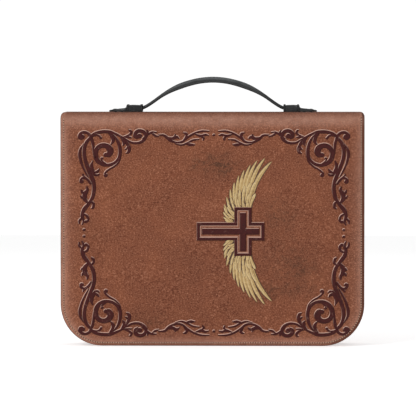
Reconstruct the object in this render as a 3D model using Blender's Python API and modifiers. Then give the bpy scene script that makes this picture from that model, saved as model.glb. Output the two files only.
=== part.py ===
"""A zip-round Bible cover of brown leather with its Bible inside, for Blender 4.5.

Metres, +Z up. The cover stands on its fore-edge: the spine and its carrying handle are on top,
the front cover faces -Y and the spine runs along X. The origin is the middle of the fore-edge.
"""

import math

import bmesh
import bpy
from mathutils import Matrix, Vector

# Driving dimensions of the cover
CASE_WIDTH = 0.290  # along the spine, X
CASE_HEIGHT = 0.223  # fore-edge to spine, Z
CASE_DEPTH = 0.052  # front face to back face, Y
FORE_CORNER = 0.040  # radius of the two corners at the fore-edge
SPINE_CORNER = 0.005  # radius of the two corners at the spine
GAP = 0.0003  # clearance between pieces that touch
LEATHER = 0.0014
LINING = 0.0008
STIFFENER = 0.0022
RECESS = 0.0046  # how far the zipped side wall sits inside the covers' edge

# The zip
GUSSET_WALL = 0.0012
GUSSET_EDGE = 0.008  # half the opening between the two leather side walls
TAPE_WALL = 0.0007
TAPE_LAP = 0.004  # tape hidden behind the side wall
TEETH_INNER = 0.0008  # half the gap between the two rows of teeth
TEETH_OUTER = 0.0026
TEETH_WALL = 0.0020
ZIP_TOP = CASE_HEIGHT - 0.014
SLIDER_LENGTH = 0.011
SLIDER_WIDTH = 0.0092
SLIDER_Z = ZIP_TOP - 0.006
PULL_PIVOT = (0.0022, 0.00295)  # along the slider from its middle, and in from the case's edge
PULL_REACH = 0.027
FRONT_ROW_TOP = SLIDER_Z - 0.0098  # the front row's left end stops short of the slider

# The Bible
BOOK_HALF_WIDTH = 0.126  # half a cover board, along the spine
BOOK_FORE_EDGE = 0.018
BOOK_TOP = CASE_HEIGHT - 0.014
BOOK_BOARD = 0.0024
PAGE_MARGIN = 0.005  # how far the boards stand out past the pages along the spine
PAGE_SQUARE = 0.004  # the same at the fore-edge
PAGE_CORNER = 0.009
SLEEVE_TOP = 0.135

# The handle
STRAP_WALL = 0.0026
STRAP_WIDTH = 0.015
GRIP_WIDTH = 0.018
STRAP_RISE = 0.0029  # the strap's mid-plane above the spine, inside its anchors
LEG_LENGTH = 0.035
GRIP_LENGTH = 0.0393
LEG_ANGLE = math.radians(36.0)
GRIP_ANGLE = math.radians(14.0)
END_LENGTH = 0.0068
ANCHOR_MOUTH = 0.0675  # from the middle of the spine
ANCHOR_LENGTH = 0.0157
ANCHOR_WIDTH = 0.021
ANCHOR_HEIGHT = 0.0067
TONGUE_LENGTH = 0.0165
RIVET_STEPS = (0.0045, 0.0105)  # from the sleeve, along the tongue

HALF_DEPTH = CASE_DEPTH / 2
HALF_WIDTH = CASE_WIDTH / 2
ARC_STEPS = 14
SMALL_ARC_STEPS = 5
ROUND_STEPS = 24

# Depths of the layers of a cover, measured inwards from its outer face
STIFFENER_DEPTH = LEATHER + GAP
LINING_DEPTH = STIFFENER_DEPTH + STIFFENER + GAP
BOARD_DEPTH = LINING_DEPTH + LINING + 0.0004
SLEEVE_DEPTH = BOARD_DEPTH + BOOK_BOARD + GAP
PAGE_DEPTH = SLEEVE_DEPTH + LINING + GAP
PAGE_GAP = 0.0005  # half the gap between the two halves of the pages, which the ribbon fills
INNER_INSET = RECESS + GUSSET_WALL + GAP
SLEEVE_INSET = INNER_INSET + TAPE_WALL + 0.0012

SPINE_TOP = CASE_HEIGHT
STRAP_Z = SPINE_TOP + STRAP_RISE


def clear_scene():
    for obj in list(bpy.data.objects):
        bpy.data.objects.remove(obj)


def new_collection(name):
    made = bpy.data.collections.new(name)
    bpy.context.scene.collection.children.link(made)
    return made


def new_material(name, colour, roughness, metallic=0.0):
    made = bpy.data.materials.new(name)
    made.use_nodes = True
    shader = made.node_tree.nodes["Principled BSDF"]
    shader.inputs["Base Color"].default_value = (*colour, 1.0)
    shader.inputs["Roughness"].default_value = roughness
    shader.inputs["Metallic"].default_value = metallic
    return made


clear_scene()
PARTS = new_collection("bible")
CUTTERS = new_collection("cutters")
CUTTERS.hide_render = True

BROWN_LEATHER = new_material("brown_leather", (0.24, 0.10, 0.06), 0.72)
BLACK_FABRIC = new_material("black_fabric", (0.02, 0.02, 0.022), 0.9)
GREYBOARD = new_material("greyboard", (0.32, 0.30, 0.27), 0.9)
BLACK_PLASTIC = new_material("black_plastic", (0.015, 0.017, 0.018), 0.42)
BLACK_METAL = new_material("black_metal", (0.03, 0.03, 0.032), 0.35, 0.9)
STEEL = new_material("steel", (0.55, 0.55, 0.56), 0.35, 1.0)
BOOK_CLOTH = new_material("book_cover", (0.03, 0.018, 0.014), 0.55)
PAPER = new_material("paper", (0.86, 0.81, 0.70), 0.85)
RIBBON = new_material("ribbon", (0.35, 0.03, 0.04), 0.55)


def finish(obj, material):
    """Gives the object its only material and smooth shading with sharp edges."""
    obj.data.materials.clear()
    obj.data.materials.append(material)
    if obj.type == "MESH":
        obj.data.shade_smooth()
        obj.data.set_sharp_from_angle(angle=math.radians(35))
    return obj


def box(name, low, high, material, collection=PARTS):
    """A box between two corners, with its scale in its mesh."""
    low, high = Vector(low), Vector(high)
    mesh = bpy.data.meshes.new(name)
    shape = bmesh.new()
    bmesh.ops.create_cube(shape, size=1.0)
    bmesh.ops.scale(shape, vec=high - low, verts=shape.verts)
    shape.to_mesh(mesh)
    shape.free()
    obj = bpy.data.objects.new(name, mesh)
    obj.location = (low + high) / 2
    collection.objects.link(obj)
    return finish(obj, material)


PLANES = {
    "XY": (0.0, 0.0, 0.0),
    "XZ": (math.radians(90), 0.0, 0.0),
    "YZ": (math.radians(90), 0.0, math.radians(90)),
}
NORMALS = {"XY": Vector((0, 0, 1)), "XZ": Vector((0, 1, 0)), "YZ": Vector((1, 0, 0))}


def prism(name, loops, plane, low, high, material, collection=PARTS):
    """Flat outlines in a plane, filled and extruded along its normal from low to high, as a mesh.
    An outline inside another is a hole."""
    data = bpy.data.curves.new(name, "CURVE")
    data.dimensions = "2D"
    data.fill_mode = "BOTH"
    data.extrude = abs(high - low) / 2
    for loop in loops:
        spline = data.splines.new("POLY")
        spline.points.add(len(loop) - 1)
        spline.use_cyclic_u = True
        for point, (u, v) in zip(spline.points, loop):
            point.co = (u, v, 0.0, 1.0)
    curve = bpy.data.objects.new(name + "_outline", data)
    curve.rotation_euler = PLANES[plane]
    curve.location = NORMALS[plane] * (low + high) / 2
    collection.objects.link(curve)
    bpy.context.view_layer.update()
    graph = bpy.context.evaluated_depsgraph_get()
    mesh = bpy.data.meshes.new_from_object(curve.evaluated_get(graph))
    shape = bmesh.new()
    shape.from_mesh(mesh)
    bmesh.ops.remove_doubles(shape, verts=shape.verts, dist=1e-6)
    shape.to_mesh(mesh)
    shape.free()
    mesh.name = name
    obj = bpy.data.objects.new(name, mesh)
    obj.matrix_world = curve.matrix_world
    collection.objects.link(obj)
    bpy.data.objects.remove(curve)
    return finish(obj, material)


def cylinder(name, radius, depth, centre, material, collection=PARTS):
    """An upright cylinder."""
    mesh = bpy.data.meshes.new(name)
    shape = bmesh.new()
    bmesh.ops.create_cone(
        shape, cap_ends=True, segments=ROUND_STEPS, radius1=radius, radius2=radius, depth=depth
    )
    shape.to_mesh(mesh)
    shape.free()
    obj = bpy.data.objects.new(name, mesh)
    obj.location = centre
    collection.objects.link(obj)
    return finish(obj, material)


def combine(target, tool, operation):
    """A Boolean modifier on target. The tool stays in the scene as a helper that isn't rendered."""
    tool.hide_render = True
    tool.display_type = "WIRE"
    hold(tool, target)
    modifier = target.modifiers.new(tool.name, "BOOLEAN")
    modifier.operation = operation
    modifier.object = tool
    return target


def arc(centre_u, centre_v, radius, start, end, steps):
    """Points along an arc, in degrees, both ends included."""
    points = []
    for i in range(steps + 1):
        angle = math.radians(start + (end - start) * i / steps)
        points.append((centre_u + radius * math.cos(angle), centre_v + radius * math.sin(angle)))
    return points


def cover_outline(inset, top, top_radius, half_width=HALF_WIDTH, low=0.0, radius=FORE_CORNER):
    """The closed outline of a cover or of anything shaped like one, inset from it all round but the top."""
    half = half_width - inset
    r = radius - inset
    bottom = low + inset
    points = arc(-half + r, bottom + r, r, 180, 270, ARC_STEPS)
    points += arc(half - r, bottom + r, r, 270, 360, ARC_STEPS)
    points += arc(half - top_radius, top - top_radius, top_radius, 0, 90, SMALL_ARC_STEPS)
    points += arc(-half + top_radius, top - top_radius, top_radius, 90, 180, SMALL_ARC_STEPS)
    return points


def side_run(inset, top, left_top):
    """The open path down the left side, round the fore-edge and up the right side."""
    half = HALF_WIDTH - inset
    r = FORE_CORNER - inset
    points = [(-half, left_top)]
    points += arc(-half + r, inset + r, r, 180, 270, ARC_STEPS)
    points += arc(half - r, inset + r, r, 270, 360, ARC_STEPS)
    points.append((half, top))
    return points


def band_outline(outer, inner, top, left_top=None):
    """The closed outline of a thin wall that follows the side run."""
    left_top = top if left_top is None else left_top
    return side_run(outer, top, left_top) + side_run(inner, top, left_top)[::-1]


def empty_at(name, place, parent=None):
    """A joint's empty, which the pieces of a moving body are parented to."""
    made = bpy.data.objects.new(name, None)
    made.location = place
    made.empty_display_size = 0.01
    PARTS.objects.link(made)
    if parent is not None:
        hold(made, parent)
    return made


def hold(obj, parent):
    bpy.context.view_layer.update()
    obj.parent = parent
    obj.matrix_parent_inverse = parent.matrix_world.inverted()
    return obj


def layer(name, loops, side, depth, thickness, material, collection=PARTS):
    """A plate of one cover: side is -1 for the front and +1 for the back, depth is from the outer face."""
    outer = side * (HALF_DEPTH - depth)
    inner = side * (HALF_DEPTH - depth - thickness)
    return prism(name, loops, "XZ", min(outer, inner), max(outer, inner), material, collection)


def wall(name, outer, inner, top, side, near, far, material, left_top=None):
    """A wall of the zipped side, between two distances from the middle of the thickness."""
    low, high = sorted((side * near, side * far))
    return prism(name, [band_outline(outer, inner, top, left_top)], "XZ", low, high, material)


def sleeve(name, side):
    """A pocket open towards the spine: a sheet with a rim on its other three sides."""
    pocket = layer(
        name, [cover_outline(SLEEVE_INSET, SLEEVE_TOP, 0.001)], side, LINING_DEPTH + LINING + GAP,
        SLEEVE_DEPTH + LINING - (LINING_DEPTH + LINING + GAP), BLACK_FABRIC,
    )
    hollow = layer(
        name + "_hollow", [cover_outline(SLEEVE_INSET + LINING, SLEEVE_TOP + 0.01, 0.001)], side, LEATHER,
        SLEEVE_DEPTH - LEATHER, BLACK_FABRIC, CUTTERS,
    )
    return combine(pocket, hollow, "DIFFERENCE")


def zip_stop(name, side, end, top):
    """A small clamp over the last tooth of one row. end is -1 on the left and +1 on the right."""
    x = sorted((end * (HALF_WIDTH - RECESS - 0.0004), end * (HALF_WIDTH - RECESS - 0.0028)))
    y = sorted((side * (TEETH_INNER - 0.0001), side * (TEETH_OUTER - 0.0001)))
    return box(name, (x[0], y[0], top + GAP), (x[1], y[1], top + 0.0033), BLACK_METAL)


def build_cover(label, side, hinge):
    """Everything that swings with the front cover or with the back cover."""
    stiff_top = CASE_HEIGHT - 0.012
    lining_top = CASE_HEIGHT - 0.008
    gusset_top = CASE_HEIGHT - 0.006
    left_top = FRONT_ROW_TOP if side < 0 else ZIP_TOP
    pieces = [
        layer(f"{label}_leather", [cover_outline(0.0, CASE_HEIGHT, SPINE_CORNER)], side, 0.0, LEATHER,
              BROWN_LEATHER),
        layer(f"{label}_stiffener", [cover_outline(INNER_INSET, stiff_top, 0.002)], side, STIFFENER_DEPTH,
              STIFFENER, GREYBOARD),
        layer(f"{label}_lining", [cover_outline(INNER_INSET, lining_top, 0.002)], side, LINING_DEPTH, LINING,
              BLACK_FABRIC),
        wall(f"{label}_gusset", RECESS, RECESS + GUSSET_WALL, gusset_top, side, GUSSET_EDGE,
             HALF_DEPTH - LEATHER - GAP, BROWN_LEATHER),
        wall(f"{label}_zipper_tape", INNER_INSET, INNER_INSET + TAPE_WALL, CASE_HEIGHT - 0.009, side,
             TEETH_OUTER + GAP, GUSSET_EDGE + TAPE_LAP, BLACK_FABRIC),
        wall(f"{label}_zipper_teeth", RECESS + 0.0006, RECESS + 0.0006 + TEETH_WALL, ZIP_TOP, side,
             TEETH_INNER, TEETH_OUTER, BLACK_PLASTIC, left_top),
        zip_stop(f"{label}_zipper_stop_left", side, -1, left_top),
        zip_stop(f"{label}_zipper_stop_right", side, 1, ZIP_TOP),
        sleeve(f"{label}_sleeve", side),
        layer(f"bible_{label}_board",
              [cover_outline(0.0, BOOK_TOP, 0.003, BOOK_HALF_WIDTH, BOOK_FORE_EDGE, 0.007)], side, BOARD_DEPTH,
              BOOK_BOARD, BOOK_CLOTH),
        layer(f"bible_{label}_pages",
              [cover_outline(0.0, BOOK_TOP - 0.002, 0.0005, BOOK_HALF_WIDTH - PAGE_MARGIN,
                             BOOK_FORE_EDGE + PAGE_SQUARE, PAGE_CORNER)],
              side, PAGE_DEPTH, HALF_DEPTH - PAGE_DEPTH - PAGE_GAP, PAPER),
    ]
    for piece in pieces:
        hold(piece, hinge)


def build_ribbon(hinge):
    """The ribbon marker lies between the halves of the pages and hangs out at the fore-edge."""
    ribbon = box("ribbon_marker", (0.057, -0.00015, 0.0125), (0.063, 0.00015, BOOK_TOP - 0.003), RIBBON)
    hold(ribbon, hinge)


def spine_strip_outline(inset, drop):
    """A strip that covers the spine from end to end and turns down round its two corners."""
    path = []
    for offset in (0.0, LEATHER):
        r = SPINE_CORNER - offset
        half = HALF_WIDTH - inset - SPINE_CORNER
        centre = SPINE_TOP - SPINE_CORNER
        run = [(half + r, centre - drop)] + arc(half, centre, r, 0, 90, SMALL_ARC_STEPS)
        run += arc(-half, centre, r, 90, 180, SMALL_ARC_STEPS) + [(-half - r, centre - drop)]
        path.append(run)
    return path[0] + path[1][::-1]


def rivet_places():
    """Where the four rivets stand, from left to right."""
    outer_end = ANCHOR_MOUTH + ANCHOR_LENGTH
    right = [outer_end + step for step in RIVET_STEPS]
    return [-x for x in reversed(right)] + right


def drill(target, radius, low, high):
    """Cuts the four rivet holes through a piece."""
    for number, x in enumerate(rivet_places(), 1):
        cutter = cylinder(
            f"{target.name}_hole_{number}", radius, high - low, (x, 0.0, (low + high) / 2), STEEL, CUTTERS
        )
        combine(target, cutter, "DIFFERENCE")
    return target


def rivet(name, x):
    """A turned rivet: a low domed head on the tongue, a shank, and a clinched head under the backing plate."""
    tongue_top = SPINE_TOP + GAP + 0.0016 + GAP
    plate_low = SPINE_TOP - LEATHER - GAP - 0.0020 - GAP - 0.0010 - GAP
    head, shank = 0.0027, 0.0012
    profile = [(0.0, tongue_top + 0.0010)]
    for i in range(1, SMALL_ARC_STEPS + 1):
        turn = math.radians(90 * i / SMALL_ARC_STEPS)
        profile.append((head * math.sin(turn), tongue_top + 0.0010 * math.cos(turn)))
    profile += [(shank, tongue_top), (shank, plate_low), (head, plate_low), (head * 0.8, plate_low - 0.0006)]
    profile.append((0.0, plate_low - 0.0006))
    mesh = bpy.data.meshes.new(name)
    shape = bmesh.new()
    verts = [shape.verts.new((r, 0.0, z - SPINE_TOP)) for r, z in profile]
    for a, b in zip(verts, verts[1:]):
        shape.edges.new((a, b))
    shape.to_mesh(mesh)
    shape.free()
    obj = bpy.data.objects.new(name, mesh)
    obj.location = (x, 0.0, SPINE_TOP)
    PARTS.objects.link(obj)
    screw = obj.modifiers.new("turn", "SCREW")
    screw.steps = screw.render_steps = ROUND_STEPS
    screw.use_merge_vertices = True
    screw.merge_threshold = 0.00001
    return finish(obj, STEEL)


def anchor_section(grow, slot_width, slot_top):
    """The cross-section of a handle anchor's sleeve: a rounded block with a slot for the strap."""
    half = ANCHOR_WIDTH / 2 + grow
    low = SPINE_TOP + GAP
    top = SPINE_TOP + ANCHOR_HEIGHT + grow
    r = 0.0022
    outer = [(-half, low), (half, low)]
    outer += arc(half - r, top - r, r, 0, 90, SMALL_ARC_STEPS)
    outer += arc(-half + r, top - r, r, 90, 180, SMALL_ARC_STEPS)
    slot_low = SPINE_TOP + 0.0012
    slot = [(-slot_width / 2, slot_low), (slot_width / 2, slot_low), (slot_width / 2, slot_top),
            (-slot_width / 2, slot_top)]
    return [outer, slot]


def anchor(name, end):
    """A handle anchor: a tongue riveted to the spine and a sleeve that the end of the strap slides in.
    The sleeve's mouth is narrower than its chamber, so that the strap's T-shaped end can't pull out."""
    def along(a, b):
        return sorted((end * (ANCHOR_MOUTH + a), end * (ANCHOR_MOUTH + b)))

    tongue_root = ANCHOR_MOUTH + ANCHOR_LENGTH - 0.002
    tip = ANCHOR_MOUTH + ANCHOR_LENGTH + TONGUE_LENGTH
    half = ANCHOR_WIDTH / 2 - 0.001
    nose = 0.003
    outline = [(tongue_root, -half), (tip - 0.010, -half * 0.86)]
    outline += arc(tip - nose, 0.0, nose, -60, 60, SMALL_ARC_STEPS)
    outline += [(tip - 0.010, half * 0.86), (tongue_root, half)]
    outline = [(end * x, y) for x, y in outline]
    body = prism(name, [outline], "XY", SPINE_TOP + GAP, SPINE_TOP + GAP + 0.0016, BLACK_PLASTIC)
    chamber = STRAP_WIDTH + 0.0032
    mouth = STRAP_WIDTH + 0.0008
    deep_top = SPINE_TOP + 0.0058
    mouth_top = SPINE_TOP + 0.0065
    blocks = (
        ("lip", anchor_section(0.0005, mouth, mouth_top), 0.0, 0.0020),
        ("chamber", anchor_section(0.0, chamber, deep_top), 0.0018, ANCHOR_LENGTH - 0.0010),
        ("end", anchor_section(0.0005, chamber, deep_top)[:1], ANCHOR_LENGTH - 0.0012, ANCHOR_LENGTH),
    )
    for label, loops, a, b in blocks:
        block = prism(f"{name}_{label}", loops, "YZ", *along(a, b), BLACK_PLASTIC, CUTTERS)
        combine(body, block, "UNION")
    return drill(body, 0.0015, SPINE_TOP - 0.001, SPINE_TOP + 0.004)


def build_spine():
    """The spine with its handle anchors and the Bible's own spine: the body that the covers hang from."""
    edge = HALF_DEPTH - LEATHER - GAP
    leather = prism("spine_leather", [spine_strip_outline(0.0, 0.001)], "XZ", -edge, edge, BROWN_LEATHER)
    drill(leather, 0.0015, SPINE_TOP - 0.003, SPINE_TOP + 0.001)
    level = SPINE_TOP - LEATHER - GAP
    board = box("spine_stiffener", (-0.139, -0.0215, level - 0.002), (0.139, 0.0215, level), GREYBOARD)
    drill(board, 0.0015, level - 0.003, level + 0.001)
    level -= 0.002 + GAP
    places = rivet_places()
    for label, x in (("left", sum(places[:2]) / 2), ("right", sum(places[2:]) / 2)):
        plate = box(f"handle_backing_{label}", (x - 0.009, -0.008, level - 0.001), (x + 0.009, 0.008, level), STEEL)
        for number, hole in enumerate(places, 1):
            if abs(hole - x) < 0.009:
                cutter = cylinder(f"{plate.name}_hole_{number}", 0.0015, 0.004, (hole, 0.0, level), STEEL, CUTTERS)
                combine(plate, cutter, "DIFFERENCE")
    level -= 0.001 + GAP + 0.0006 + GAP
    box("spine_lining", (-0.139, -0.0207, level - LINING), (0.139, 0.0207, level), BLACK_FABRIC)
    for number, x in enumerate(places, 1):
        rivet(f"handle_rivet_{number}", x)
    for label, end in (("left", -1), ("right", 1)):
        anchor(f"handle_anchor_{label}", end)
        x = sorted((end * (HALF_WIDTH - RECESS), end * (HALF_WIDTH - RECESS - GUSSET_WALL)))
        box(f"spine_end_tab_{label}", (x[0], -0.007, CASE_HEIGHT - 0.0095), (x[1], 0.007, SPINE_TOP - 0.0018),
            BROWN_LEATHER)


def build_book_spine():
    """The Bible's rounded spine and the two headbands at its ends."""
    half = HALF_DEPTH - BOARD_DEPTH
    wall_thickness = 0.0016
    foot = BOOK_TOP + wall_thickness + 2 * GAP
    rise = 0.0032
    radius = (half * half + rise * rise) / (2 * rise)
    reach = math.degrees(math.asin(half / radius))
    centre = foot + rise - radius
    outer = arc(0.0, centre, radius, 90 - reach, 90 + reach, ARC_STEPS)
    inner = arc(0.0, centre, radius - wall_thickness, 90 - reach, 90 + reach, ARC_STEPS)
    prism("bible_spine", [outer + inner[::-1]], "YZ", -BOOK_HALF_WIDTH, BOOK_HALF_WIDTH, BOOK_CLOTH)
    page_end = BOOK_HALF_WIDTH - PAGE_MARGIN
    for label, end in (("left", -1), ("right", 1)):
        x = sorted((end * (page_end + GAP), end * (page_end + 0.0016)))
        box(f"bible_headband_{label}", (x[0], -0.0155, BOOK_TOP - 0.007), (x[1], 0.0155, BOOK_TOP - 0.003), RIBBON)


def slider():
    """The zip slider: two plates joined by a blade between the rows of teeth, with a bail for the pull.
    It is made lying along X with its head towards -X and the outside of the case below it."""
    name = "zipper_slider"
    half = SLIDER_LENGTH / 2
    outer_plate, inner_plate = 0.0039, 0.0085
    shoulder, tail = SLIDER_WIDTH / 2, SLIDER_WIDTH / 2 - 0.0009
    outline = [(-half, -shoulder + 0.0012), (-half + 0.0014, -shoulder), (-half + 0.005, -shoulder),
               (half - 0.0015, -tail), (half, -tail + 0.0014)]
    outline += [(x, -y) for x, y in reversed(outline)]
    body = prism(name, [outline], "XY", outer_plate, inner_plate, BLACK_METAL)
    reach = SLIDER_LENGTH
    channel = box(f"{name}_channel", (-reach, -0.0030, 0.0048), (reach, 0.0030, 0.0076), BLACK_METAL, CUTTERS)
    combine(body, channel, "DIFFERENCE")
    slot = box(f"{name}_slot", (-reach, -0.008, 0.0057), (reach, 0.008, 0.0072), BLACK_METAL, CUTTERS)
    combine(body, slot, "DIFFERENCE")
    neck_low, neck_high = 0.0006 - half, 0.0040 - half
    neck = box(f"{name}_neck", (neck_low, -0.0005, 0.0044), (neck_high, 0.0005, 0.0080), BLACK_METAL, CUTTERS)
    combine(body, neck, "UNION")
    bail = [(-0.0048, 0.0042), (-0.0040, 0.0014), (-0.0032, 0.0010), (0.0032, 0.0010), (0.0040, 0.0014),
            (0.0048, 0.0042), (0.0038, 0.0042), (0.0031, 0.0020), (-0.0031, 0.0020), (-0.0038, 0.0042)]
    arch = prism(f"{name}_bail", [bail], "XZ", -0.0008, 0.0008, BLACK_METAL, CUTTERS)
    return combine(body, arch, "UNION")


def pull_tab():
    """The pull: a flat tab with an eye that the slider's bail passes through, made like the slider."""
    eye = [(0.0006, -0.0013), (0.0052, -0.0013), (0.0052, 0.0013), (0.0006, 0.0013)]
    outline = [(-0.0006, -0.0026), (0.0060, -0.0028), (0.0085, -0.0036)]
    outline += arc(PULL_REACH - 0.0042, 0.0, 0.0042, -90, 90, 2 * SMALL_ARC_STEPS)
    outline += [(0.0085, 0.0036), (0.0060, 0.0028), (-0.0006, 0.0026)]
    loops = [[(PULL_PIVOT[0] + x, y) for x, y in loop] for loop in (outline, eye)]
    return prism("zipper_pull", loops, "XY", PULL_PIVOT[1] - 0.00055, PULL_PIVOT[1] + 0.00055, BLACK_METAL)


def build_slider(back_hinge):
    """The slider and its pull, turned so that they run along the left side with the pull hanging down."""
    seat = empty_at("zipper_side", (0.0, 0.0, 0.0))
    run = empty_at("slider_run", (0.0, 0.0, 0.0), seat)
    hold(slider(), run)
    pivot = empty_at("pull_pivot", (PULL_PIVOT[0], 0.0, PULL_PIVOT[1]), run)
    hold(pull_tab(), pivot)
    seat.rotation_euler = (0.0, math.radians(90), 0.0)
    seat.location = (-HALF_WIDTH, 0.0, SLIDER_Z)
    hold(seat, back_hinge)


def strap_pivots():
    """The five bending points of the strap, from left to right, as (x, z)."""
    grip = (GRIP_LENGTH * math.cos(GRIP_ANGLE), GRIP_LENGTH * math.sin(GRIP_ANGLE))
    leg = (LEG_LENGTH * math.cos(LEG_ANGLE), LEG_LENGTH * math.sin(LEG_ANGLE))
    left_foot = (-grip[0] - leg[0], STRAP_Z)
    left_knee = (-grip[0], STRAP_Z + leg[1])
    crown = (0.0, STRAP_Z + leg[1] + grip[1])
    return [left_foot, left_knee, crown, (-left_knee[0], left_knee[1]), (-left_foot[0], left_foot[1])]


def link(name, start, end, width):
    """A length of the strap between two bending points, with rounded ends that clear their neighbours."""
    r = STRAP_WALL / 2
    length = math.hypot(end[0] - start[0], end[1] - start[1])
    turn = math.degrees(math.atan2(end[1] - start[1], end[0] - start[0]))
    ease = r + GAP / 2
    near = (start[0] + (end[0] - start[0]) * ease / length, start[1] + (end[1] - start[1]) * ease / length)
    far = (end[0] - (end[0] - start[0]) * ease / length, end[1] - (end[1] - start[1]) * ease / length)
    loop = arc(*near, r, turn + 90, turn + 270, 2 * SMALL_ARC_STEPS)
    loop += arc(*far, r, turn - 90, turn + 90, 2 * SMALL_ARC_STEPS)
    return prism(name, [loop], "XZ", -width / 2, width / 2, BLACK_PLASTIC)


def strap_end(name, foot, end):
    """The end of the strap inside an anchor: a short length with a T-shaped head."""
    x = foot[0]
    tip = x + end * END_LENGTH
    ends = sorted([(x, STRAP_Z), (tip, STRAP_Z)])
    piece = link(name, ends[0], ends[1], STRAP_WIDTH)
    head = sorted((tip - end * 0.0005, tip - end * 0.0030))
    half = STRAP_WIDTH / 2 + 0.0012
    bar = box(f"{name}_head", (head[0], -half, STRAP_Z - 0.0011), (head[1], half, STRAP_Z + 0.0011),
              BLACK_PLASTIC, CUTTERS)
    return combine(piece, bar, "UNION")


def build_strap():
    """The strap as six links in a chain from the left anchor to the right one."""
    pivots = strap_pivots()
    places = [(x, 0.0, z) for x, z in pivots]
    carrier = empty_at("strap_left_run", (pivots[0][0] - END_LENGTH, 0.0, STRAP_Z))
    hold(strap_end("strap_left_end", pivots[0], -1), carrier)
    names = ("strap_left_leg", "strap_left_grip", "strap_right_grip", "strap_right_leg")
    widths = (STRAP_WIDTH, GRIP_WIDTH, GRIP_WIDTH, STRAP_WIDTH)
    for i, (name, width) in enumerate(zip(names, widths)):
        carrier = empty_at(name + "_pivot", places[i], carrier)
        hold(link(name, pivots[i], pivots[i + 1], width), carrier)
    carrier = empty_at("strap_right_end_pivot", places[4], carrier)
    hold(strap_end("strap_right_end", pivots[4], 1), carrier)


def main():
    build_spine()
    build_book_spine()
    front_hinge = empty_at("front_cover_hinge", (0.0, -HALF_DEPTH, SPINE_TOP))
    back_hinge = empty_at("back_cover_hinge", (0.0, HALF_DEPTH, SPINE_TOP))
    build_cover("front", -1, front_hinge)
    build_cover("back", 1, back_hinge)
    build_ribbon(back_hinge)
    build_slider(back_hinge)
    build_strap()


main()
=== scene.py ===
"""The finished look of the zip-round Bible cover, around the fixed CAD frame: puffed leather panels with a
raised scroll border, a cross and wings, stitching, zip, lining, strap handle and the Bible inside."""

import math
import random

import bmesh
import bpy
import numpy as np
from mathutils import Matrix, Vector
from mathutils.geometry import delaunay_2d_cdt


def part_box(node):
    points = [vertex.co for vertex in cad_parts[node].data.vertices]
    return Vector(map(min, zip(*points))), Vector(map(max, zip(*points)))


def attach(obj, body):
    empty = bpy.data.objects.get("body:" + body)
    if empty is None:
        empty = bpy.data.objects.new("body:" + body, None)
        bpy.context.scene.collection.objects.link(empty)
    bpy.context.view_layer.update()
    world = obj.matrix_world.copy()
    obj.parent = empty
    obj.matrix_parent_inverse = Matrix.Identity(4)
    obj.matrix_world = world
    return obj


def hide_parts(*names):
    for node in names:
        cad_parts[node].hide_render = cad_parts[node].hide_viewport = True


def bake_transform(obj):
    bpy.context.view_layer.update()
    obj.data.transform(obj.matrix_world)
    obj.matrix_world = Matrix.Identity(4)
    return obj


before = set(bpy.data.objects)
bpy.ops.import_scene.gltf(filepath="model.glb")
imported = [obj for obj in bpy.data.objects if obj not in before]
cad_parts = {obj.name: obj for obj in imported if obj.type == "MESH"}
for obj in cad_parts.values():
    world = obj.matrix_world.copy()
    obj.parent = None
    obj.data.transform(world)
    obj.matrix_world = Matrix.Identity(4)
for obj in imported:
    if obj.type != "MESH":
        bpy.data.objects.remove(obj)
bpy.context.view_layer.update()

MM = 0.001
FRONT, BACK = -1, 1
COVER = {FRONT: "front", BACK: "back"}

# Sizes read from the CAD frame
_low, _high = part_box("front_leather")
HALF_W = _high.x
HEIGHT = _high.z
HALF_D = -_low.y
SPINE_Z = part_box("spine_leather")[1].z
FORE_R = 40 * MM
FOLD_R = 7.5 * MM
FOLD_END_Y = HALF_D - 10.5 * MM  # where the cover's leather meets the spine's
FOLD_Z = SPINE_Z - FOLD_R
FLANGE_Y = HALF_D - 0.1 * MM
STITCH_INSET = 3.1 * MM
STITCH_PITCH = 2.35 * MM
STITCH_TOP = 216.5 * MM  # where the stitching ends, on the fold


# ---------------------------------------------------------------- mesh helpers


def make_mesh(name, verts, faces, materials=(), face_slots=None, smooth=True, tones=None):
    """A mesh object from arrays. tones is a dict of per-point values that the materials read."""
    mesh = bpy.data.meshes.new(name)
    mesh.from_pydata([tuple(v) for v in verts], [], [tuple(f) for f in faces])
    mesh.update()
    for material in materials:
        mesh.materials.append(material)
    if face_slots is not None:
        mesh.polygons.foreach_set("material_index", np.asarray(face_slots, np.int32))
    mesh.polygons.foreach_set("use_smooth", np.full(len(mesh.polygons), smooth))
    for key, values in (tones or {}).items():
        layer = mesh.attributes.new(key, "FLOAT", "POINT")
        layer.data.foreach_set("value", np.asarray(values, np.float32))
    obj = bpy.data.objects.new(name, mesh)
    bpy.context.scene.collection.objects.link(obj)
    return obj


def keep_rest(obj):
    """Stores each point's place at rest, so that patterns stay put where a piece bends."""
    mesh = obj.data
    co = np.zeros(len(mesh.vertices) * 3, np.float32)
    mesh.vertices.foreach_get("co", co)
    layer = mesh.attributes.get("rest") or mesh.attributes.new("rest", "FLOAT_VECTOR", "POINT")
    layer.data.foreach_set("vector", co)
    return obj


def bake_modifiers(obj):
    """Replaces the object's mesh with its evaluated mesh."""
    bpy.context.view_layer.update()
    graph = bpy.context.evaluated_depsgraph_get()
    mesh = bpy.data.meshes.new_from_object(obj.evaluated_get(graph), preserve_all_data_layers=True,
                                           depsgraph=graph)
    obj.modifiers.clear()
    obj.data = mesh
    return obj


def thicken(obj, thickness, offset=-1.0):
    """Gives a sheet its thickness, towards its back unless offset says otherwise."""
    wall = obj.modifiers.new("wall", "SOLIDIFY")
    wall.thickness = thickness
    wall.offset = offset
    return bake_modifiers(obj)


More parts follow.
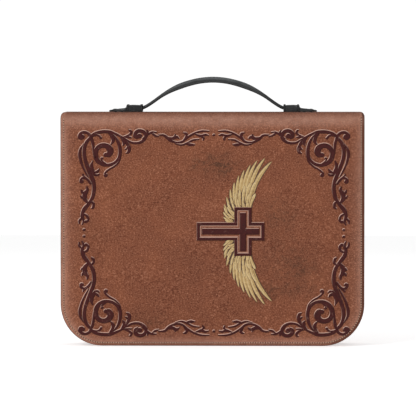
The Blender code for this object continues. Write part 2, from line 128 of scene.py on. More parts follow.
def face_along(obj, axis, sign):
    """Makes the faces agree, and turns them so that on the whole they face along one axis, 0 to 2."""
    recalc_normals(obj)
    if sign * np.mean([f.normal[axis] for f in obj.data.polygons]) < 0:
        obj.data.flip_normals()
    return obj


def recalc_normals(obj):
    """Makes all faces point outwards."""
    shape = bmesh.new()
    shape.from_mesh(obj.data)
    bmesh.ops.recalc_face_normals(shape, faces=shape.faces)
    shape.to_mesh(obj.data)
    shape.free()
    return obj


def sharp(obj, degrees=40):
    """Smooth shading, with crisp edges where faces meet at more than an angle."""
    obj.data.shade_smooth()
    obj.data.set_sharp_from_angle(angle=math.radians(degrees))
    return obj


def bevel(obj, width, segments=2, degrees=35):
    """Rounds the crisp edges by a small width."""
    modifier = obj.modifiers.new("edges", "BEVEL")
    modifier.width = width
    modifier.segments = segments
    modifier.limit_method = "ANGLE"
    modifier.angle_limit = math.radians(degrees)
    modifier.harden_normals = False
    return obj


def strip_faces(rows, columns, start=0, closed_columns=False):
    """Quads of a grid of points laid out row by row."""
    faces = []
    for i in range(rows - 1):
        for j in range(columns if closed_columns else columns - 1):
            near, far = start + i * columns, start + (i + 1) * columns
            beside = (j + 1) % columns
            faces.append((near + j, near + beside, far + beside, far + j))
    return faces


class Builder:
    """Collects many small shapes into one mesh."""

    def __init__(self):
        self.verts, self.faces, self.slots, self.tone = [], [], [], []

    def add(self, verts, faces, slot=0, tone=None):
        """Adds one shape. slot is its material, or one per face."""
        base = len(self.verts)
        self.verts.extend(tuple(v) for v in verts)
        self.faces.extend(tuple(base + i for i in f) for f in faces)
        self.slots.extend(slot if isinstance(slot, list) else [slot] * len(faces))
        self.tone.extend(tone if tone is not None else [0.0] * len(verts))

    def build(self, name, materials):
        return make_mesh(name, self.verts, self.faces, materials, self.slots, tones={"tone": self.tone})


def capsule(builder, start, end, radius, lift=Vector((0, 0, 0)), sides=6, slot=0):
    """A short length of thread between two points, arched by lift and thinner at its ends."""
    axis = (end - start).normalized()
    side = axis.orthogonal().normalized()
    other = axis.cross(side)
    rings = [(0.0, 0.35), (0.12, 0.85), (0.35, 1.0), (0.65, 1.0), (0.88, 0.85), (1.0, 0.35)]
    verts = []
    for t, size in rings:
        centre = start.lerp(end, t) + lift * math.sin(math.pi * t)
        for k in range(sides):
            turn = 2 * math.pi * k / sides
            verts.append(centre + (side * math.cos(turn) + other * math.sin(turn)) * radius * size)
    faces = strip_faces(len(rings), sides, closed_columns=True)
    faces.append(tuple(range(sides))[::-1])
    faces.append(tuple(range((len(rings) - 1) * sides, len(rings) * sides)))
    builder.add(verts, faces, slot)


# ---------------------------------------------------------------- materials


def srgb(r, g, b):
    """Linear colour from everyday 0-255 values."""
    out = []
    for c in (r, g, b):
        c /= 255
        out.append(c / 12.92 if c <= 0.04045 else ((c + 0.055) / 1.055) ** 2.4)
    return (*out, 1.0)


SHADER_INPUTS = {"sheen": "Sheen Weight", "specular": "Specular IOR Level", "glow": "Emission Strength",
                 "glow_colour": "Emission Color"}


class Nodes:
    """Short calls for building one material's node tree."""

    def __init__(self, name, coords="object"):
        self.material = bpy.data.materials.new(name)
        self.material.use_nodes = True
        self.tree = self.material.node_tree
        self.shader = self.tree.nodes["Principled BSDF"]
        if coords == "rest":
            node = self.new("ShaderNodeAttribute")
            node.attribute_name = "rest"
            self.coords = node.outputs["Vector"]
        else:
            self.coords = self.new("ShaderNodeTexCoord").outputs["Object"]

    def new(self, kind):
        """A new node."""
        return self.tree.nodes.new(kind)

    def join(self, source, target):
        """Feeds an input with another node's output, or sets it to a plain value."""
        if isinstance(source, (int, float, tuple)):
            target.default_value = source
        else:
            self.tree.links.new(source, target)

    def attribute(self, name):
        """A value stored on the mesh's points."""
        node = self.new("ShaderNodeAttribute")
        node.attribute_name = name
        return node.outputs["Fac"]

    def noise(self, scale, detail=3.0, roughness=0.55, distortion=0.0, stretch=None):
        """Cloudy noise, stretched along the axes if asked."""
        node = self.new("ShaderNodeTexNoise")
        self.join(self.stretched(stretch), node.inputs["Vector"])
        node.inputs["Scale"].default_value = scale
        node.inputs["Detail"].default_value = detail
        node.inputs["Roughness"].default_value = roughness
        node.inputs["Distortion"].default_value = distortion
        return node.outputs["Fac"]

    def cells(self, scale, feature="F1", randomness=1.0):
        """Distances inside a pattern of cells."""
        node = self.new("ShaderNodeTexVoronoi")
        node.feature = feature
        self.join(self.coords, node.inputs["Vector"])
        node.inputs["Scale"].default_value = scale
        node.inputs["Randomness"].default_value = randomness
        return node.outputs["Distance"]

    def wave(self, scale, direction="X", distortion=0.0):
        """Parallel bands."""
        node = self.new("ShaderNodeTexWave")
        node.wave_type = "BANDS"
        node.bands_direction = direction
        self.join(self.coords, node.inputs["Vector"])
        node.inputs["Scale"].default_value = scale
        node.inputs["Distortion"].default_value = distortion
        return node.outputs["Fac"]

    def stretched(self, stretch):
        """The texture's coordinates, scaled per axis."""
        if stretch is None:
            return self.coords
        node = self.new("ShaderNodeMapping")
        self.join(self.coords, node.inputs["Vector"])
        node.inputs["Scale"].default_value = stretch
        return node.outputs["Vector"]

    def ramp(self, source, stops):
        """Colours or greys at places along a value."""
        node = self.new("ShaderNodeValToRGB")
        self.join(source, node.inputs["Fac"])
        elements = node.color_ramp.elements
        while len(elements) < len(stops):
            elements.new(0.5)
        for element, (place, colour) in zip(elements, stops):
            element.position = place
            element.color = colour if isinstance(colour, tuple) else (colour, colour, colour, 1.0)
        return node.outputs["Color"]

    def mix(self, factor, a, b):
        """One colour over another."""
        node = self.new("ShaderNodeMix")
        node.data_type = "RGBA"
        self.join(factor, node.inputs["Factor"])
        self.join(a, node.inputs[6])
        self.join(b, node.inputs[7])
        return node.outputs[2]

    def math(self, operation, a, b=0.0, clamp=False):
        """Sums on two values."""
        node = self.new("ShaderNodeMath")
        node.operation = operation
        node.use_clamp = clamp
        self.join(a, node.inputs[0])
        self.join(b, node.inputs[1])
        return node.outputs[0]

    def scale_to(self, source, low, high, to_low=0.0, to_high=1.0):
        """A value moved from one range to another."""
        node = self.new("ShaderNodeMapRange")
        self.join(source, node.inputs["Value"])
        for key, value in (("From Min", low), ("From Max", high), ("To Min", to_low), ("To Max", to_high)):
            node.inputs[key].default_value = value
        return node.outputs["Result"]

    def bump(self, height, distance, strength=1.0, after=None):
        """Small relief in the shading, on top of any before it."""
        node = self.new("ShaderNodeBump")
        self.join(height, node.inputs["Height"])
        node.inputs["Distance"].default_value = distance
        node.inputs["Strength"].default_value = strength
        if after is not None:
            self.join(after, node.inputs["Normal"])
        return node.outputs["Normal"]

    def finish(self, colour=None, roughness=None, normal=None, metallic=None, **extra):
        """Joins everything to the shader, and gives the material."""
        given = {"Base Color": colour, "Roughness": roughness, "Normal": normal, "Metallic": metallic}
        for key, source in given.items():
            if source is not None:
                self.join(source, self.shader.inputs[key])
        for key, value in extra.items():
            self.join(value, self.shader.inputs[SHADER_INPUTS[key]])
        return self.material


def leather_material(name, coords="rest", marks_and_painted_light=True, light=0.0):
    """Mottled brown leather: browns that drift over centimetres, dark stains, a fine grain, a dark cut edge
    and seam, a patchy painted highlight on the rims and along the fold, and painted shade in the stitch
    groove, on the level top by the spine and along the front cover's right edge.
    """
    n = Nodes(name, coords)
    broad = n.noise(17, 5, 0.6, 0.4)
    cloud = n.noise(52, 6, 0.62)
    grain = n.noise(690, 6, 0.82, 0.0, (1.0, 1.0, 1.2))
    pores = n.cells(900, randomness=1.0)
    browns = [(0.30, srgb(88, 44, 27)), (0.45, srgb(114, 61, 39)), (0.58, srgb(136, 76, 49)),
              (0.74, srgb(160, 98, 66))]
    base = n.ramp(broad, browns)
    clouds = n.ramp(cloud, [(0.25, srgb(82, 42, 28)), (0.52, srgb(122, 68, 44)), (0.80, srgb(166, 103, 70))])
    colour = n.mix(0.5, base, clouds)
    shades = [(0.34, srgb(26, 6, 2)), (0.45, srgb(92, 46, 28)), (0.53, srgb(134, 80, 56)),
              (0.66, srgb(196, 142, 114))]
    specks = n.ramp(grain, shades)
    colour = n.mix(0.60, colour, specks)
    if marks_and_painted_light:
        stain = n.attribute("stain")
        breakup = n.ramp(n.noise(190, 6, 0.72, 0.5), [(0.46, 0.0), (0.62, 1.0)])
        veil = n.ramp(cloud, [(0.35, 1.0), (0.62, 0.15)])
        amount = n.math("MULTIPLY", stain, veil)
        colour = n.mix(n.math("MULTIPLY", amount, 0.36, True), colour, srgb(84, 54, 36))
        specky = n.math("MULTIPLY", stain, breakup)
        colour = n.mix(n.math("MULTIPLY", specky, 0.8, True), colour, srgb(54, 40, 28))
        # painted highlight: a paler colour on the rims, the flange strip and the fold, broken into patches
        rim = n.attribute("rim")
        painted_sheen = n.ramp(n.noise(150, 5, 0.65), [(0.28, 0.45), (0.70, 1.0)])
        colour = n.mix(n.math("MULTIPLY", rim, painted_sheen, True), colour, srgb(206, 160, 140))
        # the dark cut edge and seam, and painted shade in the stitch groove, on the level top by the spine and
        # along the front cover's right edge
        edge = n.attribute("edge")
        colour = n.mix(n.math("MULTIPLY", edge, 0.8, True), colour, srgb(70, 36, 26))
    if light:
        colour = n.mix(light, colour, srgb(202, 160, 142))
    rough = n.scale_to(grain, 0.3, 0.7, 0.66, 0.84)
    creases = n.cells(240, "DISTANCE_TO_EDGE")
    creases = n.ramp(creases, [(0.0, 0.0), (0.12, 1.0)])
    normal = n.bump(creases, 0.00006, 0.35)
    normal = n.bump(grain, 0.00022, 0.8, normal)
    normal = n.bump(pores, 0.00010, 0.4, normal)
    return n.finish(colour, rough, normal, specular=0.22)


def ornament_material(name, dark, mid, pale):
    """Paint on raised leather. tone is +1 on sides that face up, to the light, which get a painted highlight,
    and -1 on those facing down, which get a painted shade.
    """
    n = Nodes(name, "object")
    tone = n.attribute("tone")
    grain = n.noise(700, 3, 0.6)
    body = n.ramp(grain, [(0.3, dark), (0.55, mid), (0.8, mid)])
    wear = n.ramp(n.noise(260, 5, 0.7), [(0.60, 0.0), (0.80, 0.22)])
    body = n.mix(wear, body, pale)
    # painted highlight on sides facing the light and painted shade on sides facing away from it
    up = n.math("MULTIPLY", tone, 1.25, True)
    down = n.math("MULTIPLY", tone, -1.0, True)
    colour = n.mix(up, body, pale)
    colour = n.mix(n.math("MULTIPLY", down, 0.75), colour, srgb(44, 20, 18))
    rough = n.scale_to(grain, 0.3, 0.7, 0.5, 0.7)
    return n.finish(colour, rough, n.bump(grain, 0.0001, 0.5), specular=0.15)


def gold_material():
    """Matt gold foil on leather with dark outlines where tone is -1, a faint painted shade on one side of each
    quill and a painted highlight where tone is positive.
    """
    n = Nodes("wing_gold", "object")
    tone = n.attribute("tone")
    grain = n.noise(560, 4, 0.65)
    barbs = n.wave(420, "DIAGONAL", 2.0)
    body = n.ramp(grain, [(0.28, srgb(146, 114, 70)), (0.5, srgb(182, 150, 94)), (0.75, srgb(206, 176, 122))])
    body = n.mix(n.math("MULTIPLY", barbs, 0.10), body, srgb(160, 124, 70))
    wear = n.ramp(n.noise(330, 6, 0.75), [(0.62, 0.0), (0.74, 0.6)])
    body = n.mix(wear, body, srgb(150, 104, 74))
    down = n.math("MULTIPLY", tone, -1.6, True)
    colour = n.mix(down, body, srgb(78, 50, 30))
    # painted highlight along the quills and near the tips of the blunt feathers
    up = n.math("MULTIPLY", tone, 0.9, True)
    colour = n.mix(up, colour, srgb(242, 226, 182))
    rough = n.scale_to(grain, 0.3, 0.7, 0.34, 0.52)
    return n.finish(colour, rough, n.bump(grain, 0.0001, 0.5), metallic=0.15)


def weave_material(name, colour, light, pitch=0.0007, coords="object", sheen=0.4):
    """Woven cloth: two crossed sets of threads with small variations in shade."""
    n = Nodes(name, coords)
    scale = 1 / pitch / 6.283 * 2
    warp = n.wave(scale, "X", 0.4)
    weft = n.wave(scale, "Z", 0.4)
    depth = n.wave(scale, "Y", 0.4)
    threads = n.math("MAXIMUM", n.math("MAXIMUM", warp, weft), depth)
    fuzz = n.noise(1400, 3, 0.7)
    shade = n.mix(n.scale_to(threads, 0.2, 1.0, 0.0, 0.6), colour, light)
    shade = n.mix(n.math("MULTIPLY", fuzz, 0.35), shade, light)
    normal = n.bump(threads, 0.00016, 0.6)
    normal = n.bump(fuzz, 0.0001, 0.4, normal)
    return n.finish(shade, 0.86, normal, sheen=sheen)


def moulded_material(name, dark, light, low, high, coords="object", scratch=True):
    """Moulded or lacquered black: a very fine texture, soft smudges and hairline scuffs."""
    n = Nodes(name, coords)
    fine = n.noise(1500, 2, 0.5)
    smudge = n.noise(90, 4, 0.6)
    colour = n.ramp(smudge, [(0.3, dark), (0.75, light)])
    rough = n.scale_to(smudge, 0.3, 0.7, low, high)
    if scratch:
        hair = n.ramp(n.noise(180, 2, 0.4, 0.0, (1.0, 9.0, 9.0)), [(0.66, 0.0), (0.70, 0.35)])
        colour = n.mix(hair, colour, srgb(92, 94, 94))
    return n.finish(colour, rough, n.bump(fine, 0.00005, 0.35))


def strap_material():
    """Satin black strap: a painted grey highlight along its top, black along its edges and underneath."""
    n = Nodes("strap_black", "rest")
    fine = n.noise(1500, 2, 0.5)
    smudge = n.noise(90, 4, 0.6)
    black = n.ramp(smudge, [(0.3, srgb(14, 15, 16)), (0.75, srgb(28, 30, 31))])
    painted_sheen = n.ramp(smudge, [(0.3, srgb(66, 69, 70)), (0.75, srgb(104, 107, 108))])
    # painted highlight: the strap's top is painted grey
    colour = n.mix(n.attribute("painted_sheen"), black, painted_sheen)
    rough = n.scale_to(smudge, 0.3, 0.7, 0.36, 0.50)
    return n.finish(colour, rough, n.bump(fine, 0.00005, 0.35))


def metal_material(name, dark, light, low, high):
    """Bare metal with brush marks across it and a slightly uneven shine."""
    n = Nodes(name)
    fine = n.noise(1100, 3, 0.6)
    brushed = n.noise(260, 3, 0.6, 0.0, (1.0, 12.0, 1.0))
    colour = n.ramp(brushed, [(0.3, dark), (0.7, light)])
    rough = n.scale_to(fine, 0.3, 0.7, low, high)
    return n.finish(colour, rough, n.bump(brushed, 0.00003, 0.4), metallic=1.0)


def thread_material(name, dark, light):
    """Twisted sewing thread with a little fuzz."""
    n = Nodes(name)
    ply = n.wave(700, "DIAGONAL", 1.0)
    fuzz = n.noise(1600, 3, 0.7)
    colour = n.mix(ply, dark, light)
    colour = n.mix(n.math("MULTIPLY", fuzz, 0.4), colour, dark)
    return n.finish(colour, 0.8, n.bump(ply, 0.0001, 0.6), sheen=0.3)


def paper_material():
    """A block of thin leaves: fine lines between the leaves, and a plain page where it opens."""
    n = Nodes("book_paper", "rest")
    leaves = n.noise(900, 3, 0.7, 0.0, (0.02, 6.0, 0.02))
    sheets = n.wave(900, "Y", 3.0)
    age = n.noise(22, 4, 0.6)
    creams = [(0.3, srgb(196, 182, 150)), (0.55, srgb(232, 222, 196)), (0.8, srgb(245, 238, 218))]
    colour = n.ramp(leaves, creams)
    colour = n.mix(n.math("MULTIPLY", age, 0.35), colour, srgb(224, 206, 168))
    page = n.attribute("page")
    face = n.ramp(age, [(0.3, srgb(244, 238, 222)), (0.8, srgb(236, 227, 205))])
    colour = n.mix(page, colour, face)
    normal = n.bump(leaves, 0.00012, 0.5)
    normal = n.bump(sheets, 0.00004, 0.3, normal)
    return n.finish(colour, 0.86, normal)


def book_leather_material():
    """The Bible's dark leather, with a pebbled grain."""
    n = Nodes("book_leather", "rest")
    pebble = n.cells(620, "F1", 0.9)
    tone = n.noise(40, 4, 0.6)
    colour = n.ramp(tone, [(0.3, srgb(24, 17, 15)), (0.7, srgb(46, 32, 28))])
    rough = n.scale_to(pebble, 0.1, 0.6, 0.38, 0.62)
    return n.finish(colour, rough, n.bump(pebble, 0.00018, 0.55))


def satin_material(name, dark, light):
    """Satin with fine ribs and a soft shine."""
    n = Nodes(name)
    ribs = n.wave(620, "X", 0.3)
    fuzz = n.noise(900, 3, 0.6)
    colour = n.mix(ribs, dark, light)
    colour = n.mix(n.math("MULTIPLY", fuzz, 0.3), colour, dark)
    return n.finish(colour, 0.42, n.bump(ribs, 0.00006, 0.5), sheen=0.3)


def board_material():
    """Grey pasteboard with short fibres."""
    n = Nodes("board")
    fibre = n.noise(500, 5, 0.7)
    colour = n.ramp(fibre, [(0.3, srgb(128, 122, 112)), (0.7, srgb(166, 160, 148))])
    return n.finish(colour, 0.92, n.bump(fibre, 0.0001, 0.5))


LEATHER = leather_material("brown_leather_rest")
LEATHER_PLAIN = leather_material("brown_leather_plain", "object", marks_and_painted_light=False)
# painted shade: dark beads that stand in for the shadow inside needle holes
NEEDLE_HOLE_SHADE = moulded_material("needle_hole_shade", srgb(40, 22, 16), srgb(52, 30, 22), 0.8, 0.9, scratch=False)
LEATHER_FIELD = leather_material("brown_leather_field", "object", marks_and_painted_light=False, light=0.04)
PALE_LINE = leather_material("pale_leather_line", "object", marks_and_painted_light=False, light=0.62)
MAROON = ornament_material("maroon_paint", srgb(50, 17, 17), srgb(68, 26, 24), srgb(222, 182, 164))
GOLD = gold_material()
THREAD = thread_material("tan_thread", srgb(166, 124, 98), srgb(226, 190, 166))
LINING = weave_material("black_lining", srgb(17, 17, 19), srgb(44, 44, 48), 0.0008, "rest")
TAPE = weave_material("zipper_tape", srgb(14, 14, 15), srgb(40, 40, 43), 0.0006)
TEETH = moulded_material("zipper_teeth", srgb(12, 12, 13), srgb(30, 31, 32), 0.25, 0.45, scratch=False)
STRAP = strap_material()
ANCHOR = moulded_material("anchor_black", srgb(12, 13, 14), srgb(28, 30, 31), 0.28, 0.42)
BLACK_METAL = metal_material("black_nickel", srgb(34, 34, 36), srgb(62, 62, 64), 0.22, 0.40)
STEEL = metal_material("plain_steel", srgb(150, 150, 152), srgb(196, 196, 198), 0.28, 0.42)
PAPER = paper_material()
BOOK_LEATHER = book_leather_material()
RIBBON = satin_material("red_ribbon", srgb(104, 14, 20), srgb(160, 30, 36))
BOARD = board_material()


# ---------------------------------------------------------------- the padded leather panels

TOP_RUN = FOLD_Z + FOLD_R * math.pi / 2  # pattern height where the fold turns level
PANEL_TOP = TOP_RUN + (FLANGE_Y - FOLD_R - FOLD_END_Y)
END_R = 4.0 * MM  # rounding of the case's two upper corners
RIM_RISE = 1.5 * MM
EDGE_DROP = 1.0 * MM  # how far the cut edge turns back
CROWN_LIMIT = 2.0 * MM
LEATHER_WALL = 1.5 * MM
GROOVE = STITCH_INSET / MM
RING_DEPTHS = [0, 0.35, 1.0, 1.8, 2.4, 2.8, 3.1, 3.4, 3.8, 4.4, 5.2, 6.2, 7.5, 9.0, 11.0, 14.0]


def smooth_step(low, high, value):
    """Eases from 0 to 1 between low and high, which may be given the other way round."""
    t = min(max((value - low) / (high - low), 0.0), 1.0)
    return t * t * (3 - 2 * t)


def edge_distance(x, w):
    """How far a point of the flat pattern is from the leather's cut edge, the side at the spine left out."""
    ax = abs(x)
    if ax > HALF_W - FORE_R and w < FORE_R:
        return FORE_R - math.hypot(ax - (HALF_W - FORE_R), FORE_R - w)
    return min(HALF_W - ax, w)


def end_drop(x):
    """How far the spine turns down near its two ends."""
    over = abs(x) - (HALF_W - END_R)
    if over <= 0:
        return 0.0
    return END_R - math.sqrt(max(END_R * END_R - over * over, 0.0))


def on_cover(side, x, w, lift):
    """World position of a pattern point: up the outside of a cover, round the fold and onto the spine."""
    if w <= FOLD_Z:
        return Vector((x, side * (FLANGE_Y + lift), w))
    reach = FOLD_R + lift
    turn = min((w - FOLD_Z) / FOLD_R, math.pi / 2)
    y = FLANGE_Y - FOLD_R + reach * math.cos(turn)
    z = FOLD_Z + (reach - end_drop(x)) * math.sin(turn)
    return Vector((x, side * (y - max(w - TOP_RUN, 0.0)), z))


GRID = 4 * MM
CLOTH_FRAMES = 20


def cloth_sheet(side, xs, ws):
    """A flat sheet of cloth with air pressure behind it, held where it will be stitched and at the fold."""
    maker = random.Random(11 + side)
    verts, pinned = [], []
    for w in ws:
        for x in xs:
            pin = edge_distance(x, w) < 4.5 * MM or w > FOLD_Z - 3 * MM
            if pin:
                pinned.append(len(verts))
            verts.append((x, 0.0, w) if pin else (x, side * maker.uniform(0, 0.25) * MM, w))
    faces = strip_faces(len(ws), len(xs))
    if side > 0:
        faces = [f[::-1] for f in faces]
    sheet = make_mesh(f"sheet_{side}", verts, faces)
    sheet.location.x = side * 0.4
    group = sheet.vertex_groups.new(name="held")
    group.add(pinned, 1.0, "REPLACE")
    settings = sheet.modifiers.new("cloth", "CLOTH").settings
    settings.quality = 6
    settings.mass = 0.3
    settings.tension_stiffness = settings.compression_stiffness = 12
    settings.shear_stiffness = 6
    settings.bending_stiffness = 3
    settings.air_damping = 4
    settings.shrink_min = -0.004
    settings.vertex_group_mass = "held"
    settings.use_pressure = True
    settings.uniform_pressure_force = 0.6
    settings.effector_weights.gravity = 0.0
    return sheet


def cloth_crowns():
    """Blows up one sheet of cloth per cover, and returns the heights it takes on a grid."""
    xs = np.linspace(-HALF_W, HALF_W, int(round(2 * HALF_W / GRID)) + 1)
    ws = np.linspace(0, FOLD_Z, int(round(FOLD_Z / GRID)) + 1)
    sheets = {side: cloth_sheet(side, xs, ws) for side in (FRONT, BACK)}
    scene = bpy.context.scene
    for frame_number in range(1, CLOTH_FRAMES + 1):
        scene.frame_set(frame_number)
    graph = bpy.context.evaluated_depsgraph_get()
    crowns = {}
    for side, sheet in sheets.items():
        mesh = sheet.evaluated_get(graph).to_mesh()
        heights = np.array([side * v.co.y for v in mesh.vertices]).reshape(len(ws), len(xs))
        crowns[side] = CROWN_LIMIT * np.tanh(np.maximum(heights, 0) / CROWN_LIMIT)
    for sheet in sheets.values():
        bpy.data.objects.remove(sheet)
    scene.frame_set(1)
    return crowns


CROWNS = cloth_crowns()


def crown(side, x, w):
    """The simulated height at one point, by bilinear interpolation."""
    heights = CROWNS[side]
    rows, columns = heights.shape
    u = min(max((x + HALF_W) / (2 * HALF_W), 0.0), 1.0) * (columns - 1)
    v = min(max(w / FOLD_Z, 0.0), 1.0) * (rows - 1)
    j, i = min(int(u), columns - 2), min(int(v), rows - 2)
    fu, fv = u - j, v - i
    low = heights[i, j] * (1 - fu) + heights[i, j + 1] * fu
    high = heights[i + 1, j] * (1 - fu) + heights[i + 1, j + 1] * fu
    return low * (1 - fv) + high * fv


def panel_lift(side, x, w):
    """Height of the leather above its flat flange."""
    d = edge_distance(x, w) / MM
    beside = 1 - smooth_step(FOLD_Z - 3 * MM, FOLD_Z + 7 * MM, w)
    groove = -0.42 * MM * math.exp(-(((d - GROOVE) / 0.5) ** 2)) * (1 - smooth_step(214, 218, w / MM))
    if d > GROOVE:
        rim = RIM_RISE * (1 - math.exp(-(d - GROOVE) / 1.9))
    else:
        rim = -EDGE_DROP * ((GROOVE - d) / GROOVE) ** 1.6
    return groove + rim * beside + crown(side, x, w) * beside


# Stains on the leather: the middle across and up, how far each reaches across and up, and its strength
STAINS = {
    FRONT: [
        (0.004, 0.175, 0.019, 0.009, 0.85), (-0.016, 0.172, 0.007, 0.004, 0.60),
        (0.010, 0.170, 0.009, 0.007, 0.70), (0.060, 0.127, 0.011, 0.019, 0.50),
        (0.072, 0.122, 0.008, 0.010, 0.50), (0.070, 0.080, 0.024, 0.020, 0.45),
        (0.090, 0.064, 0.014, 0.018, 0.40), (0.060, 0.053, 0.015, 0.009, 0.60),
        (0.043, 0.043, 0.012, 0.008, 0.35), (-0.060, 0.024, 0.030, 0.008, 0.30),
        (-0.120, 0.110, 0.016, 0.010, 0.25),
    ],
    BACK: [
        (-0.050, 0.150, 0.024, 0.012, 0.60), (0.030, 0.050, 0.026, 0.010, 0.55),
        (0.090, 0.160, 0.014, 0.018, 0.40),
    ],
}


def away_from_light(x, w):
    """How much the turned-back edge near a point faces right and down, from 0 to 1."""
    if w >= FORE_R:
        return 1.0 if x > 0 else 0.0
    out_x = max(abs(x) - (HALF_W - FORE_R), 0.0) * (1 if x > 0 else -1)
    out_w = w - FORE_R
    reach = math.hypot(out_x, out_w) or 1.0
    return min(max((out_x - 0.45 * out_w) / reach, 0.0), 1.0)


def leather_tones(side, points):
    """Per-point values for the leather: stains; a painted highlight on the rim inside the stitching, on the
    flange strip and along the fold; and the dark cut edge and seam, with painted shade in the stitch groove,
    on the level top by the spine and along the front cover's right edge.
    """
    stain, rim, edge = [], [], []
    for x, w in points:
        d = edge_distance(x, w) / MM
        amount = 0.0
        for cx, cz, rx, rz, strength in STAINS[side]:
            amount += strength * math.exp(-(((x - cx) / rx) ** 2) - ((w - cz) / rz) ** 2)
        stain.append(min(amount, 1.0))
        # painted shade on the front cover's edge strip, where its turned-back edge faces right and down
        turned = (1 - smooth_step(2.0, 3.0, d)) * away_from_light(x, w) if side == FRONT else 0.0
        # painted highlight on the rounding inside the stitches and on the flange strip outside them, less
        # where that strip has painted shade
        inside = 0.50 * math.exp(-(d - GROOVE) / 3.6) if d > GROOVE else 0.40 * (1 - turned)
        # painted highlight along the fold at the spine
        fold = 0.46 * math.exp(-(((w - FOLD_Z - 0.5 * MM) / (7 * MM)) ** 2))
        rim.append(min(max(inside, fold), 1.0))
        cut = 1 - smooth_step(0.15, 0.7, d)
        # painted shade in the stitch groove
        groove = 0.55 * math.exp(-(((d - GROOVE) / 0.5) ** 2)) * (w < STITCH_TOP + MM)
        seam = smooth_step(PANEL_TOP - 1.6 * MM, PANEL_TOP, w) * 0.7
        # painted shade on the level top by the spine
        level = smooth_step(TOP_RUN - 3 * MM, TOP_RUN, w) * 0.3
        edge.append(max(cut, groove, seam, level, 0.85 * turned))
    return {"stain": stain, "rim": rim, "edge": edge}


def side_rows():
    """Pattern heights of the points on the straight sides, closer together round the fold."""
    rows = list(np.arange(FORE_R, 200 * MM, 3.4 * MM))
    rows += list(np.arange(200 * MM, 211 * MM, 2 * MM))
    rows += list(np.linspace(211 * MM, PANEL_TOP, 17))
    return rows


def ring(depth):
    """Pattern points along one line parallel to the edge, from the top left round to the top right."""
    rows = side_rows()
    r = FORE_R - depth
    half = HALF_W - FORE_R
    points = [(-HALF_W + depth, w) for w in rows[::-1]]
    turns = np.linspace(0, math.pi / 2, 25)
    points += [(-half - r * math.cos(a), FORE_R - r * math.sin(a)) for a in turns[1:]]
    points += [(x, depth) for x in np.linspace(-half, half, 62)[1:-1]]
    points += [(half + r * math.sin(a), FORE_R - r * math.cos(a)) for a in turns[:-1]]
    points += [(HALF_W - depth, w) for w in rows]
    return points


def blend_at_fold(piece):
    """Bakes a piece's placement into its mesh; the piece already lies over the fold between the spine and one
    cover.
    """
    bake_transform(piece)


def panel_pattern():
    """The flat pattern's points and faces: rings along the edge, closest by the stitches, then a grid."""
    rings = [ring(d * MM) for d in RING_DEPTHS]
    count = len(rings[0])
    points = [p for one in rings for p in one]
    faces = strip_faces(len(rings), count)
    inner_start = (len(rings) - 1) * count
    inner_ring = rings[-1]
    step = 3.4 * MM
    inner_depth = RING_DEPTHS[-1] * MM
    inner_half = HALF_W - inner_depth
    xs = np.linspace(-inner_half, inner_half, int(inner_half * 2 / step))[1:-1]
    ws = list(np.arange(inner_depth + step, FORE_R, step)) + side_rows()
    inner = [(x, w) for w in ws[:-1] for x in xs if edge_distance(x, w) > inner_depth + 0.45 * step]
    inner += [(x, PANEL_TOP) for x in xs]
    top_start = len(inner_ring) + len(inner) - len(xs)
    flat = [Vector((x, w)) for x, w in inner_ring + inner]
    border = [(i, i + 1) for i in range(count - 1)] + [(count - 1, top_start + len(xs) - 1)]
    border += [(top_start + i + 1, top_start + i) for i in range(len(xs) - 1)][::-1] + [(top_start, 0)]
    out = delaunay_2d_cdt(flat, border, [], 1, 1e-7)
    new_verts, triangles, origins = out[0], out[2], out[3]
    index = []
    for place, sources in zip(new_verts, origins):
        if sources and min(sources) < count:
            index.append(inner_start + min(sources))
        else:
            index.append(len(points))
            points.append(tuple(place))
    faces += [tuple(index[i] for i in triangle) for triangle in triangles]
    return points, faces


def cover_panel(side):
    """One leather panel from the spine's seam over the fold and down to the stitched edge."""
    label = COVER[side]
    points, faces = panel_pattern()
    verts = [on_cover(side, x, w, panel_lift(side, x, w)) for x, w in points]
    panel = make_mesh(f"{label}_leather_panel", verts, faces, [LEATHER], tones=leather_tones(side, points))
    face_along(panel, 1, side)
    thicken(panel, LEATHER_WALL)
    keep_rest(panel)
    blend_at_fold(panel)
    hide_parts(f"{label}_leather")


def spine_panel():
    """The level strip along the spine, which turns down over both ends."""
    xs = list(np.linspace(-HALF_W + END_R, HALF_W - END_R, 93))
    turns = np.linspace(0, math.pi / 2, 8)[1:]
    left = [(-HALF_W + END_R * (1 - math.sin(a)), SPINE_Z - END_R * (1 - math.cos(a))) for a in turns]
    right = [(-x, z) for x, z in left]
    line = left[::-1] + [(x, SPINE_Z) for x in xs] + right
    ys = np.linspace(-FOLD_END_Y, FOLD_END_Y, 13)
    verts = []
    for x, z in line:
        for y in ys:
            sag = 0.25 * MM * (1 - (y / FOLD_END_Y) ** 2) * smooth_step(0, 0.02, HALF_W - abs(x))
            verts.append((x, y, z - sag * 0.6))
    # the spine strip is made a little paler all over, in the same patches as the painted highlight
    tones = {key: [value] * len(verts) for key, value in (("stain", 0.0), ("rim", 0.12), ("edge", 0.0))}
    strip = make_mesh("spine_leather_strip", verts, strip_faces(len(line), len(ys)), [LEATHER], tones=tones)
    face_along(strip, 2, 1)
    thicken(strip, 1.3 * MM)
    keep_rest(strip)
    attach(strip, "spine")
    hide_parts("spine_leather")


